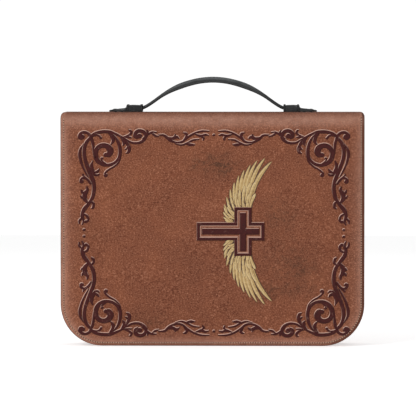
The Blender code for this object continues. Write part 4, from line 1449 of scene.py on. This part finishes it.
def lining(side):
    """A cover's cloth lining, with faint ripples and finer rows of points where it folds under the spine."""
    label = COVER[side]
    half, radius = HALF_W - LINING_INSET, FORE_R - LINING_INSET
    outline = round_outline(half, LINING_INSET, LINING_TOP, radius, corner_steps=16)
    taken = {tuple(Vector(p)) for p in outline}
    coarse, _ = fill(outline, 4 * MM)
    inner = [Vector(p) for p in coarse if p[1] < LINING_TOP - 5.5 * MM or abs(p[0]) > 138.5 * MM]
    inner += [Vector((x, LINING_TOP - down * MM)) for down in (0.9, 1.8, 2.7, 3.6, 4.6)
              for x in np.arange(-0.136, 0.1365, 0.004)]
    flat = [Vector(p) for p in outline] + [p for p in inner if tuple(p) not in taken]
    border = [(i, (i + 1) % len(outline)) for i in range(len(outline))]
    out = delaunay_2d_cdt(flat, border, [], 1, 1e-7)
    points = [tuple(p) for p in out[0]]
    faces = [tuple(f) for f in out[2]]
    maker = random.Random(29 + side)
    phases = [(maker.uniform(20, 60), maker.uniform(20, 60), maker.uniform(0, 6.28)) for _ in range(4)]
    verts = []
    for x, w in points:
        ripple = sum(math.sin(a * x * 2 + b * w + c) for a, b, c in phases) * 0.07 * MM
        verts.append(lining_place(side, x, w, 0.12 * MM + ripple))
    cloth = make_mesh(f"{label}_lining_cloth", verts, faces, [LINING])
    face_along(cloth, 1, -side)
    thicken(cloth, LINING_WALL)
    keep_rest(cloth)
    start, end = (0, side * 17.8 * MM, LINING_Z), (0, side * 21.6 * MM, 204 * MM)
    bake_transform(cloth)
    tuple(start)
    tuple(end)
    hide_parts(f"{label}_lining")


def spine_lining():
    """The strip of lining along the underside of the spine."""
    ys = np.linspace(-18.3 * MM, 18.3 * MM, 15)
    xs = np.linspace(-138.7 * MM, 138.7 * MM, 90)
    maker = random.Random(41)
    verts = [(x, y, LINING_Z + 0.05 * MM + 0.12 * MM * maker.uniform(-1, 1)) for x in xs for y in ys]
    cloth = make_mesh("spine_lining_cloth", verts, strip_faces(len(xs), len(ys)), [LINING])
    face_along(cloth, 2, -1)
    thicken(cloth, LINING_WALL)
    keep_rest(cloth)
    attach(cloth, "spine")
    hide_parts("spine_lining")


def pocket(side):
    """The sleeve that a board of the Bible slides into: sewn down on three sides and bound along its top."""
    label = COVER[side]
    half, radius = HALF_W - POCKET_INSET, FORE_R - POCKET_INSET
    outline = round_outline(half, POCKET_INSET, SLEEVE_TOP, radius, corner_steps=16)
    points, faces = fill(outline, 3.6 * MM)
    verts = []
    for x, w in points:
        d = min(edge_distance(x, w) - POCKET_INSET, 8 * MM) / MM
        lift = 0.3 + 3.15 * (1 - math.exp(-max(d, 0.0) / 1.1))
        sag = 0.25 * math.sin(x * 46) * smooth_step(90, 135, w / MM)
        verts.append((x, side * (LINING_Y - lift + sag * 0.5) * MM, w))
    made = make_mesh(f"{label}_pocket", verts, faces, [LINING])
    face_along(made, 1, -side)
    thicken(made, 0.6 * MM)
    keep_rest(made)
    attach(made, f"{label}_cover")
    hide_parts(f"{label}_sleeve")
    pocket_binding(side)


def pocket_binding(side):
    """A folded tape over the pocket's top edge, which runs down to the lining at both ends."""
    label = COVER[side]
    binding = Builder()
    xs = np.linspace(-BINDING_HALF, BINDING_HALF, 100)
    verts = []
    for x in xs:
        sag = 0.25 * math.sin(x * 46) * 0.5
        near = 17.45 + sag
        end = min((BINDING_HALF - abs(x)) / (3 * MM), 1.0)
        near = near + (20.3 - near) * (1 - math.sin(end * math.pi / 2))
        for y, z in ((-0.45, -5.0), (-0.75, -4.4), (-0.75, 0.0), (-0.4, 0.7), (0.45, 0.7), (0.75, 0.0),
                     (0.75, -4.4), (0.45, -5.0)):
            verts.append((x, side * (near + y) * MM, SLEEVE_TOP + z * MM))
    faces = strip_faces(len(xs), 8, closed_columns=True)
    faces += [tuple(range(8)), tuple(range((len(xs) - 1) * 8, len(xs) * 8))[::-1]]
    binding.add(verts, faces)
    tape = binding.build(f"{label}_pocket_binding", [TAPE])
    recalc_normals(tape)
    sharp(tape, 50)
    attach(tape, f"{label}_cover")


BOOK_LOW, BOOK_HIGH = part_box("bible_front_board")
PAGES_LOW, PAGES_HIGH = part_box("bible_front_pages")


def join_loops(a, b):
    """Quads between two closed loops of points, given by their numbers."""
    count = len(a)
    return [(a[i], a[(i + 1) % count], b[(i + 1) % count], b[i]) for i in range(count)]


def slab(name, outline_at, profile, materials, step):
    """A flat piece with eased edges. outline_at(inset) gives its outline; profile is a list of (inset, y)."""
    verts, faces = [], []
    first, triangles = fill(outline_at(profile[0][0]), step)
    count = len(outline_at(profile[0][0]))
    verts += [(x, profile[0][1], z) for x, z in first]
    faces += triangles
    previous = list(range(count))
    for inset, y in profile[1:-1]:
        start = len(verts)
        verts += [(x, y, z) for x, z in outline_at(inset)]
        current = list(range(start, start + count))
        faces += join_loops(previous, current)
        previous = current
    last, triangles = fill(outline_at(profile[-1][0]), step)
    start = len(verts)
    verts += [(x, profile[-1][1], z) for x, z in last]
    faces += [tuple(start + i for i in t) for t in triangles]
    faces += join_loops(previous, range(start, start + count))
    made = make_mesh(name, verts, faces, materials)
    return recalc_normals(made)


def book_board(side):
    """A cover board wrapped in black grained leather, with turned edges."""
    label = COVER[side]
    half = BOOK_HIGH.x
    near, far = 18.25 * MM, 20.55 * MM

    def outline_at(inset):
        return round_outline(half - inset, BOOK_LOW.z + inset, BOOK_HIGH.z - inset, 7 * MM - inset, 5 * MM, 8,
                             2.4 * MM - inset)

    ease = 0.7 * MM
    profile = [(ease, side * near), (0.2 * MM, side * (near + 0.2 * MM)), (0.0, side * (near + ease)),
               (0.0, side * (far - ease)), (0.2 * MM, side * (far - 0.2 * MM)), (ease, side * far)]
    board = slab(f"bible_{label}_board_leather", outline_at, profile, [BOOK_LEATHER], 14 * MM)
    sharp(board, 60)
    keep_rest(board)
    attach(board, f"{label}_cover")
    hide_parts(f"bible_{label}_board")


def book_joint(side):
    """The soft strip of the book's joint, from one board to the book's spine."""
    label = COVER[side]
    half = BOOK_HIGH.x
    verts = []
    ys_z = [(19.2, 203.5), (19.7, 206.5), (20.1, 209.0), (20.35, 211.0), (20.3, 212.3), (19.6, 213.1)]
    xs = np.linspace(-half + 1.5 * MM, half - 1.5 * MM, 60)
    for x in xs:
        for y, z in ys_z:
            verts.append((x, side * y * MM, z * MM))
    strip = make_mesh(f"bible_{label}_joint", verts, strip_faces(len(xs), len(ys_z)), [BOOK_LEATHER])
    face_along(strip, 1, side)
    thicken(strip, 0.5 * MM)
    finer = strip.modifiers.new("finer", "SUBSURF")
    finer.levels = finer.render_levels = 1
    bake_modifiers(strip)
    keep_rest(strip)
    start, end = (0, side * 20 * MM, 212.6 * MM), (0, side * 19.4 * MM, 204 * MM)
    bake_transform(strip)
    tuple(start)
    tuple(end)


def book_pages(side):
    """Half of the Bible's leaves: uneven edges, a hollowed fore-edge and a plain page inside."""
    label = COVER[side]
    maker = random.Random(61 + side)
    half = PAGES_HIGH.x
    columns = np.linspace(0.55, 16.7, 26)
    outlines = []
    for k, y in enumerate(columns):
        hollow = 0.9 * MM * math.sin(math.pi * k / (len(columns) - 1))
        jog = maker.uniform(0.0, 0.28) * MM
        low = PAGES_LOW.z + hollow + jog
        outlines.append(round_outline(half - jog, low, PAGES_HIGH.z - 0.2 * MM, 9 * MM, 4 * MM, 8))
    count = len(outlines[0])
    verts, faces, page = [], [], []
    first, triangles = fill(outlines[0], 6 * MM)
    verts += [(x, side * columns[0] * MM, z) for x, z in first]
    page += [1.0] * len(first)
    faces += triangles
    previous = []
    for k, y in enumerate(columns):
        start = len(verts)
        verts += [(x, side * y * MM, z) for x, z in outlines[k]]
        page += [0.0] * count
        current = list(range(start, start + count))
        if previous:
            faces += join_loops(previous, current)
        previous = current
    last, triangles = fill(outlines[-1], 6 * MM)
    start = len(verts)
    verts += [(x, side * columns[-1] * MM, z) for x, z in last]
    page += [1.0] * len(last)
    faces += [tuple(start + i for i in t) for t in triangles]
    leaves = make_mesh(f"bible_{label}_leaves", verts, faces, [PAPER], tones={"page": page})
    recalc_normals(leaves)
    sharp(leaves, 40)
    keep_rest(leaves)
    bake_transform(leaves)
    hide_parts(f"bible_{label}_pages")


def book_spine():
    """The Bible's rounded spine with five low bands across it."""
    low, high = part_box("bible_spine")
    half_y = high.y
    rise = high.z - low.z - 1.6 * MM
    radius = (half_y ** 2 + rise ** 2) / (2 * rise)
    centre = high.z - radius
    reach = math.asin(min(half_y / radius, 1.0))
    bands = [-0.095, -0.048, 0.0, 0.048, 0.095]
    near_bands = [b + d for b in bands for d in (-0.0028, -0.002, 0.0, 0.002, 0.0028)]
    xs = sorted(set(np.linspace(-high.x, high.x, 75)) | set(near_bands))
    verts = []
    turns = np.linspace(-reach, reach, 21)
    for x in xs:
        swell = max(math.exp(-(((x - b) / (1.9 * MM)) ** 4)) for b in bands) * 0.45 * MM
        end = 0.5 * MM * smooth_step(0, 1, 1 - min((high.x - abs(x)) / (1.2 * MM), 1.0))
        for a in turns:
            r = radius + swell - end - 0.5 * MM
            verts.append((x, r * math.sin(a), centre + r * math.cos(a)))
    shell = make_mesh("bible_spine_leather", verts, strip_faces(len(xs), len(turns)), [BOOK_LEATHER])
    face_along(shell, 2, 1)
    thicken(shell, 1.0 * MM)
    keep_rest(shell)
    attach(shell, "spine")
    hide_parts("bible_spine")


def headband(label):
    """A striped band of thread at one end of the Bible's spine."""
    low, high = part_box(f"bible_headband_{label}")
    x, z = (low.x + high.x) / 2, (low.z + high.z) / 2
    pitch = 1.1 * MM
    count = int((high.y - low.y) / pitch)
    sides = 10
    threads = Builder()
    for k in range(count):
        y = low.y + (k + 0.5) * (high.y - low.y) / count
        verts = []
        for dy, size in ((-0.5, 0.75), (-0.25, 1.0), (0.25, 1.0), (0.5, 0.75)):
            for a in np.arange(sides) * 2 * math.pi / sides:
                wide, tall = 0.62 * MM * size * math.cos(a), 1.8 * MM * size * math.sin(a)
                verts.append((x + wide, y + dy * pitch, z + tall))
        faces = strip_faces(4, sides, closed_columns=True)
        faces += [tuple(range(sides)), tuple(range(3 * sides, 4 * sides))[::-1]]
        threads.add(verts, faces, k % 2)
    striped = threads.build(f"bible_headband_{label}_threads", [RIBBON, THREAD])
    recalc_normals(striped)
    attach(striped, "spine")
    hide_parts(f"bible_headband_{label}")


def ribbon():
    """The satin marker between the pages, with a notched end."""
    low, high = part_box("ribbon_marker")
    zs = np.linspace(high.z, low.z, 60)
    xs = np.linspace(low.x, high.x, 7)
    verts = []
    for z in zs:
        for x in xs:
            from_middle = abs(x - (low.x + high.x) / 2) / ((high.x - low.x) / 2)
            near_end = smooth_step(low.z + 8 * MM, low.z, z) if z < low.z + 8 * MM else 0.0
            notch = 2.4 * MM * (1 - from_middle) * near_end
            sway = 0.6 * MM * math.sin(z * 60) * smooth_step(low.z + 0.05, low.z, z)
            verts.append((x + sway * 0.4, 0.16 * MM * math.sin(z * 180) * 0.4, z + notch))
    strip = make_mesh("ribbon_marker_satin", verts, strip_faces(len(zs), len(xs)), [RIBBON])
    recalc_normals(strip)
    thicken(strip, 0.22 * MM, offset=0.0)
    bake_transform(strip)
    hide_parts("ribbon_marker")


def end_tabs():
    """Small leather tabs that close the two ends of the zip below the spine."""
    for label, end in (("left", -1), ("right", 1)):
        low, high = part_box(f"spine_end_tab_{label}")
        half = high.y
        drop = 3.4 * MM
        outline = [(half * math.cos(a), low.z + drop + drop * math.sin(a))
                   for a in np.linspace(math.pi, 2 * math.pi, 13)]
        outline += [(half, z) for z in np.linspace(low.z + drop, high.z, 4)[1:]]
        outline += [(-half, z) for z in np.linspace(high.z, low.z + drop, 4)[:-1]]
        verts = []
        centre = np.mean(outline, 0)
        layers = [(0.93, high.x), (1.0, high.x - 0.35 * MM), (1.0, low.x + 0.35 * MM), (0.93, low.x)]
        for size, x in layers:
            eased = (np.array(outline) - centre) * size + centre
            verts += [(x, y, z) for y, z in eased]
        count = len(outline)
        faces = strip_faces(4, count, closed_columns=True)
        faces += [tuple(range(count)), tuple(range(3 * count, 4 * count))[::-1]]
        tab = Builder()
        tab.add(verts, faces, 0)
        outer = high.x if end > 0 else low.x
        for y in (-4.6, -2.3, 0.0, 2.3, 4.6):
            at = Vector((outer, y * MM, low.z + 2.0 * MM))
            along = Vector((0, 0.8 * MM, 0))
            capsule(tab, at - along, at + along, 0.25 * MM, Vector((end * 0.15 * MM, 0, 0)), sides=5, slot=1)
        made = tab.build(f"spine_end_tab_{label}_leather", [LEATHER_PLAIN, THREAD])
        recalc_normals(made)
        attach(made, "spine")
        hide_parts(f"spine_end_tab_{label}")


# ---------------------------------------------------------------- handle

# Sections of an anchor, in millimetres: distance from the mouth, half width, height and corner radius
ANCHOR_SECTIONS = [
    (0.0, 10.4, 6.6, 1.6), (0.35, 10.9, 7.1, 2.0), (1.6, 10.9, 7.1, 2.0), (2.0, 10.4, 6.6, 2.0),
    (2.5, 10.1, 6.2, 2.0), (4.0, 10.2, 6.35, 2.0), (9.0, 10.4, 6.5, 2.0), (12.6, 10.2, 6.35, 2.0),
    (13.0, 10.4, 6.5, 2.0), (13.3, 10.9, 7.0, 2.0), (14.6, 10.9, 7.0, 2.0), (15.1, 10.4, 6.2, 2.2),
    (15.7, 9.9, 4.3, 1.8), (16.6, 9.5, 3.5, 1.3), (19.0, 9.0, 3.2, 1.2), (23.0, 8.2, 2.8, 1.1),
    (27.0, 6.6, 2.3, 0.9), (29.6, 4.8, 1.9, 0.8), (31.2, 3.0, 1.6, 0.7),
]
SLOT_DEPTHS = (0.0, 0.3, 9.5, 15.2)
SLOT_END_HEIGHT = 4.7  # the slot is lower at its inner end, below the sleeve's sloping back


def anchor(label, end):
    """A moulded handle anchor: a sleeve with a raised ring at each end, and a long tongue along the spine."""
    low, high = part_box(f"handle_anchor_{label}")
    mouth = min(abs(low.x), abs(high.x)) / MM
    tip = max(abs(low.x), abs(high.x)) / MM
    floor = low.z
    stations = ANCHOR_SECTIONS + [(tip - mouth, 1.0, 1.2, 0.5)]
    verts = []
    arc_steps = 5
    for along, half, height, radius in stations:
        x = end * (mouth + along) * MM
        section = [(-half, 0.0), (half, 0.0)]
        for a in np.linspace(0, math.pi / 2, arc_steps):
            section.append((half - radius + radius * math.cos(a), height - radius + radius * math.sin(a)))
        for a in np.linspace(math.pi / 2, math.pi, arc_steps):
            section.append((-half + radius + radius * math.cos(a), height - radius + radius * math.sin(a)))
        verts += [(x, y * MM, floor + z * MM) for y, z in section]
    count = 2 + 2 * arc_steps
    faces = strip_faces(len(stations), count, closed_columns=True)
    faces.append(tuple(range((len(stations) - 1) * count, len(stations) * count)))
    # the open mouth: a rim, then the walls of the slot, then its dark back
    slot_half, slot_low, slot_high = 7.9, 0.9, 6.2
    inner = [(-slot_half, slot_low), (slot_half, slot_low)]
    for a in np.linspace(0, math.pi / 2, arc_steps):
        inner.append((slot_half - 1.0 + math.cos(a), slot_high - 1.0 + math.sin(a)))
    for a in np.linspace(math.pi / 2, math.pi, arc_steps):
        inner.append((-slot_half + 1.0 + math.cos(a), slot_high - 1.0 + math.sin(a)))
    rim = len(verts)
    for depth in SLOT_DEPTHS:
        wide = 0.3 if depth == 0.0 else 0.0
        for y, z in inner:
            z = min(z, SLOT_END_HEIGHT) if depth == SLOT_DEPTHS[-1] else z
            verts.append((end * (mouth + depth) * MM, (y + (wide if y > 0 else -wide)) * MM, floor + z * MM))
    faces += join_loops(range(count), range(rim, rim + count))
    faces += strip_faces(len(SLOT_DEPTHS), count, rim, closed_columns=True)
    faces.append(tuple(range(rim + (len(SLOT_DEPTHS) - 1) * count, rim + len(SLOT_DEPTHS) * count)))
    made = make_mesh(f"handle_anchor_{label}_moulding", verts, faces, [ANCHOR])
    recalc_normals(made)
    sharp(made, 38)
    bevel(made, 0.18 * MM, 2, 38)
    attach(made, "spine")
    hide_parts(f"handle_anchor_{label}")


# The middles of the strap's five bends, from left to right, as the joints give them
PIVOTS = [Vector((x * MM, 0, z * MM)) for x, z in (
    (-66.44822, 225.9), (-38.13262, 246.47248), (0, 255.98001), (38.13262, 246.47248), (66.44822, 225.9))]
FOOT_REACH = 6.6 * MM  # how far the strap goes on into its anchor
# How near each bend's curve is drawn to its pivot, from either side: the two feet bend tightly
BEND_PULL = [(0.90, 0.82), (2 / 3, 2 / 3), (2 / 3, 2 / 3), (2 / 3, 2 / 3), (0.82, 0.90)]
FOOT_HOLD = 3.5 * MM  # a distance from a foot's bend towards its anchor


def strap_curve(count=14):
    """The strap's line as pieces between the middles of its CAD links: for each bend, its points."""
    left = PIVOTS[0] - Vector((FOOT_REACH, 0, 0))
    right = PIVOTS[-1] + Vector((FOOT_REACH, 0, 0))
    joints = [left] + PIVOTS + [right]
    middles = [(a + b) / 2 for a, b in zip(joints, joints[1:])]
    middles[0], middles[-1] = left, right
    pieces = []
    for k in range(5):
        start, control, stop = middles[k], joints[k + 1], middles[k + 1]
        first = start.lerp(control, BEND_PULL[k][0])
        second = stop.lerp(control, BEND_PULL[k][1])
        points = []
        for t in np.linspace(0, 1, count):
            u = 1 - t
            points.append(start * u ** 3 + first * 3 * t * u ** 2 + second * 3 * t * t * u + stop * t ** 3)
        pieces.append(points)
    return pieces


def strap_section(share):
    """The strap's cross-section at a share of the way from an anchor (0) to the crown (1), in millimetres:
    a rounded band with a groove near each edge, wider and thicker in the grip."""
    grip = smooth_step(0.25, 0.62, share)
    half = 7.4 + 1.7 * grip
    thick = 1.45 + 1.15 * grip
    crownness = 0.25 + 0.5 * grip
    top = [(half, 0.0), (half * 0.985, thick * 0.62), (half * 0.94, thick * 0.95),
           (half * 0.87, thick * 1.02), (half * 0.83, thick * 0.84), (half * 0.79, thick * 1.04),
           (half * 0.5, thick * 1.04 + crownness * 0.5), (0.0, thick * 1.04 + crownness * 0.62)]
    top += [(-y, z) for y, z in top[-2::-1]]
    right = [(half * 0.6, -thick), (half * 0.94, -thick * 0.92), (half * 0.985, -thick * 0.62)]
    bottom = [(-y, z) for y, z in right[::-1]] + [(0.0, -thick)] + right
    return top + bottom


# Each length of the strap, and the CAD links it stands for
STRAP_LENGTHS = {
    "strap_left_foot": ("strap_left_end", "strap_left_leg"),
    "strap_left_shoulder": ("strap_left_grip",),
    "strap_crown": (),
    "strap_right_shoulder": ("strap_right_grip",),
    "strap_right_foot": ("strap_right_leg", "strap_right_end"),
}


def strap():
    """Five lengths of the strap, each curved across one joint, cut at the middles of the CAD's links."""
    reach = abs(PIVOTS[0].x) + FOOT_REACH
    for k, ((name, links), points) in enumerate(zip(STRAP_LENGTHS.items(), strap_curve())):
        verts, painted_sheen = [], []
        for i, p in enumerate(points):
            ahead = points[i + 1] if i + 1 < len(points) else p * 2 - points[i - 1]
            behind = points[i - 1] if i > 0 else p * 2 - points[i + 1]
            along = (ahead - behind).normalized()
            up = Vector((-along.z, 0, along.x))
            share = 1 - abs(p.x) / reach
            for y, h in strap_section(share):
                verts.append(p + up * h * MM + Vector((0, y * MM, 0)))
                # painted highlight: the top of the section painted grey, its sides a little, its underside
                # not, more so towards the crown
                top_sheen = 0.75 if h > 1.0 else 0.3 if h > 0 else 0.0
                painted_sheen.append(smooth_step(0.15, 0.8, share) * top_sheen)
        count = len(strap_section(0.5))
        faces = strip_faces(len(points), count, closed_columns=True)
        faces += [tuple(range(count)), tuple(range((len(points) - 1) * count, len(points) * count))[::-1]]
        made = make_mesh(f"{name}_band", verts, faces, [STRAP], tones={"painted_sheen": painted_sheen})
        recalc_normals(made)
        sharp(made, 62)
        keep_rest(made)
        start, end = points[0], points[-1]
        if k == 0:
            start, end = PIVOTS[0] - Vector((FOOT_HOLD, 0, 0)), PIVOTS[0].lerp(end, 0.35)
        elif k == 4:
            start, end = PIVOTS[4].lerp(start, 0.35), PIVOTS[4] + Vector((FOOT_HOLD, 0, 0))
        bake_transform(made)
        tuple(start)
        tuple(end)
        if links:
            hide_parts(*links)


# ---------------------------------------------------------------- CAD nodes that stay


def dress_frame():
    """Edges and finishes for the hard CAD pieces that are shown as they are."""
    finishes = {"zipper_slider": (BLACK_METAL, 0.25), "zipper_pull": (BLACK_METAL, 0.22)}
    for name in ("spine_stiffener", "front_stiffener", "back_stiffener"):
        finishes[name] = (BOARD, 0.3)
    for end in ("left", "right"):
        finishes[f"handle_backing_{end}"] = (STEEL, 0.2)
        finishes[f"front_zipper_stop_{end}"] = (BLACK_METAL, 0.2)
        finishes[f"back_zipper_stop_{end}"] = (BLACK_METAL, 0.2)
    for number in range(1, 5):
        finishes[f"handle_rivet_{number}"] = (BLACK_METAL, 0.12)
    for name, (material, width) in finishes.items():
        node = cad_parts[name]
        node.data.materials.clear()
        node.data.materials.append(material)
        bevel(node, width * MM, 2, 30)


for cover_side in (FRONT, BACK):
    gusset(cover_side)
    zipper_tape(cover_side)
    zipper_teeth(cover_side)
    lining(cover_side)
    pocket(cover_side)
    book_board(cover_side)
    book_joint(cover_side)
    book_pages(cover_side)
spine_lining()
book_spine()
headband("left")
headband("right")
ribbon()
end_tabs()
anchor("left", -1)
anchor("right", 1)
strap()
dress_frame()


# ---------------------------------------------------------------- floor, light and camera

ROOM_LIGHT = 0.46
BACKDROP_LIGHT = 1.05
FLOOR_HALF = 2.4
FLOOR_Z = -0.0002


def studio_floor():
    """A plain pale plate for the object to stand on."""
    corners = [(x * FLOOR_HALF, y * FLOOR_HALF, FLOOR_Z) for x, y in ((-1, -1), (1, -1), (1, 1), (-1, 1))]
    floor = make_mesh("studio_floor", corners, [(0, 1, 2, 3)], smooth=False)
    n = Nodes("studio_floor")
    speck = n.noise(40, 4, 0.6)
    pale = n.ramp(speck, [(0.3, srgb(250, 250, 250)), (0.7, srgb(255, 255, 255))])
    floor.data.materials.append(n.finish(pale, 0.9, glow=0.5, glow_colour=(1.0, 1.0, 1.0, 1.0)))


def studio_room():
    """A plain white surround that the camera sees brighter than the object does."""
    world = bpy.data.worlds.new("studio")
    world.use_nodes = True
    tree = world.node_tree
    background = tree.nodes["Background"]
    background.inputs["Color"].default_value = (1.0, 1.0, 1.0, 1.0)
    rays = tree.nodes.new("ShaderNodeLightPath")
    strength = tree.nodes.new("ShaderNodeMapRange")
    tree.links.new(rays.outputs["Is Camera Ray"], strength.inputs["Value"])
    strength.inputs["To Min"].default_value = ROOM_LIGHT
    strength.inputs["To Max"].default_value = BACKDROP_LIGHT
    tree.links.new(strength.outputs["Result"], background.inputs["Strength"])
    bpy.context.scene.world = world
    bpy.context.scene.view_settings.view_transform = "Standard"


def studio_lights():
    """Three soft lamps: name, place, size and power."""
    lights = (
        ("key", (-0.9, -1.2, 1.1), 0.8, 10.5),
        ("fill", (1.0, -1.3, 0.6), 1.1, 2.6),
        ("back", (0.2, 1.2, 1.0), 1.0, 2.0),
    )
    for name, place, size, power in lights:
        data = bpy.data.lights.new(name, "AREA")
        data.size = size
        data.energy = power
        light = bpy.data.objects.new(name, data)
        light.location = place
        aim = Vector((0, 0, 0.12)) - Vector(place)
        light.rotation_euler = aim.to_track_quat("-Z", "Y").to_euler()
        bpy.context.scene.collection.objects.link(light)


def front_camera():
    """A long lens in front of the case, a little to the right and a little above it."""
    azimuth, elevation, distance = math.radians(1.5), math.radians(2.4), 4.0
    target = Vector((0.0, 0.0, HEIGHT / 2))
    data = bpy.data.cameras.new("front_camera")
    data.lens = 360.6
    data.sensor_width = 36.0
    data.shift_x = -0.0121875
    data.shift_y = 0.0482452
    camera = bpy.data.objects.new("front_camera", data)
    level = math.cos(elevation)
    away = Vector((math.sin(azimuth) * level, -math.cos(azimuth) * level, math.sin(elevation)))
    camera.location = target + away * distance
    camera.rotation_euler = (-away).to_track_quat("-Z", "Y").to_euler()
    bpy.context.scene.collection.objects.link(camera)
    bpy.context.scene.camera = camera


studio_floor()
studio_room()
studio_lights()
front_camera()
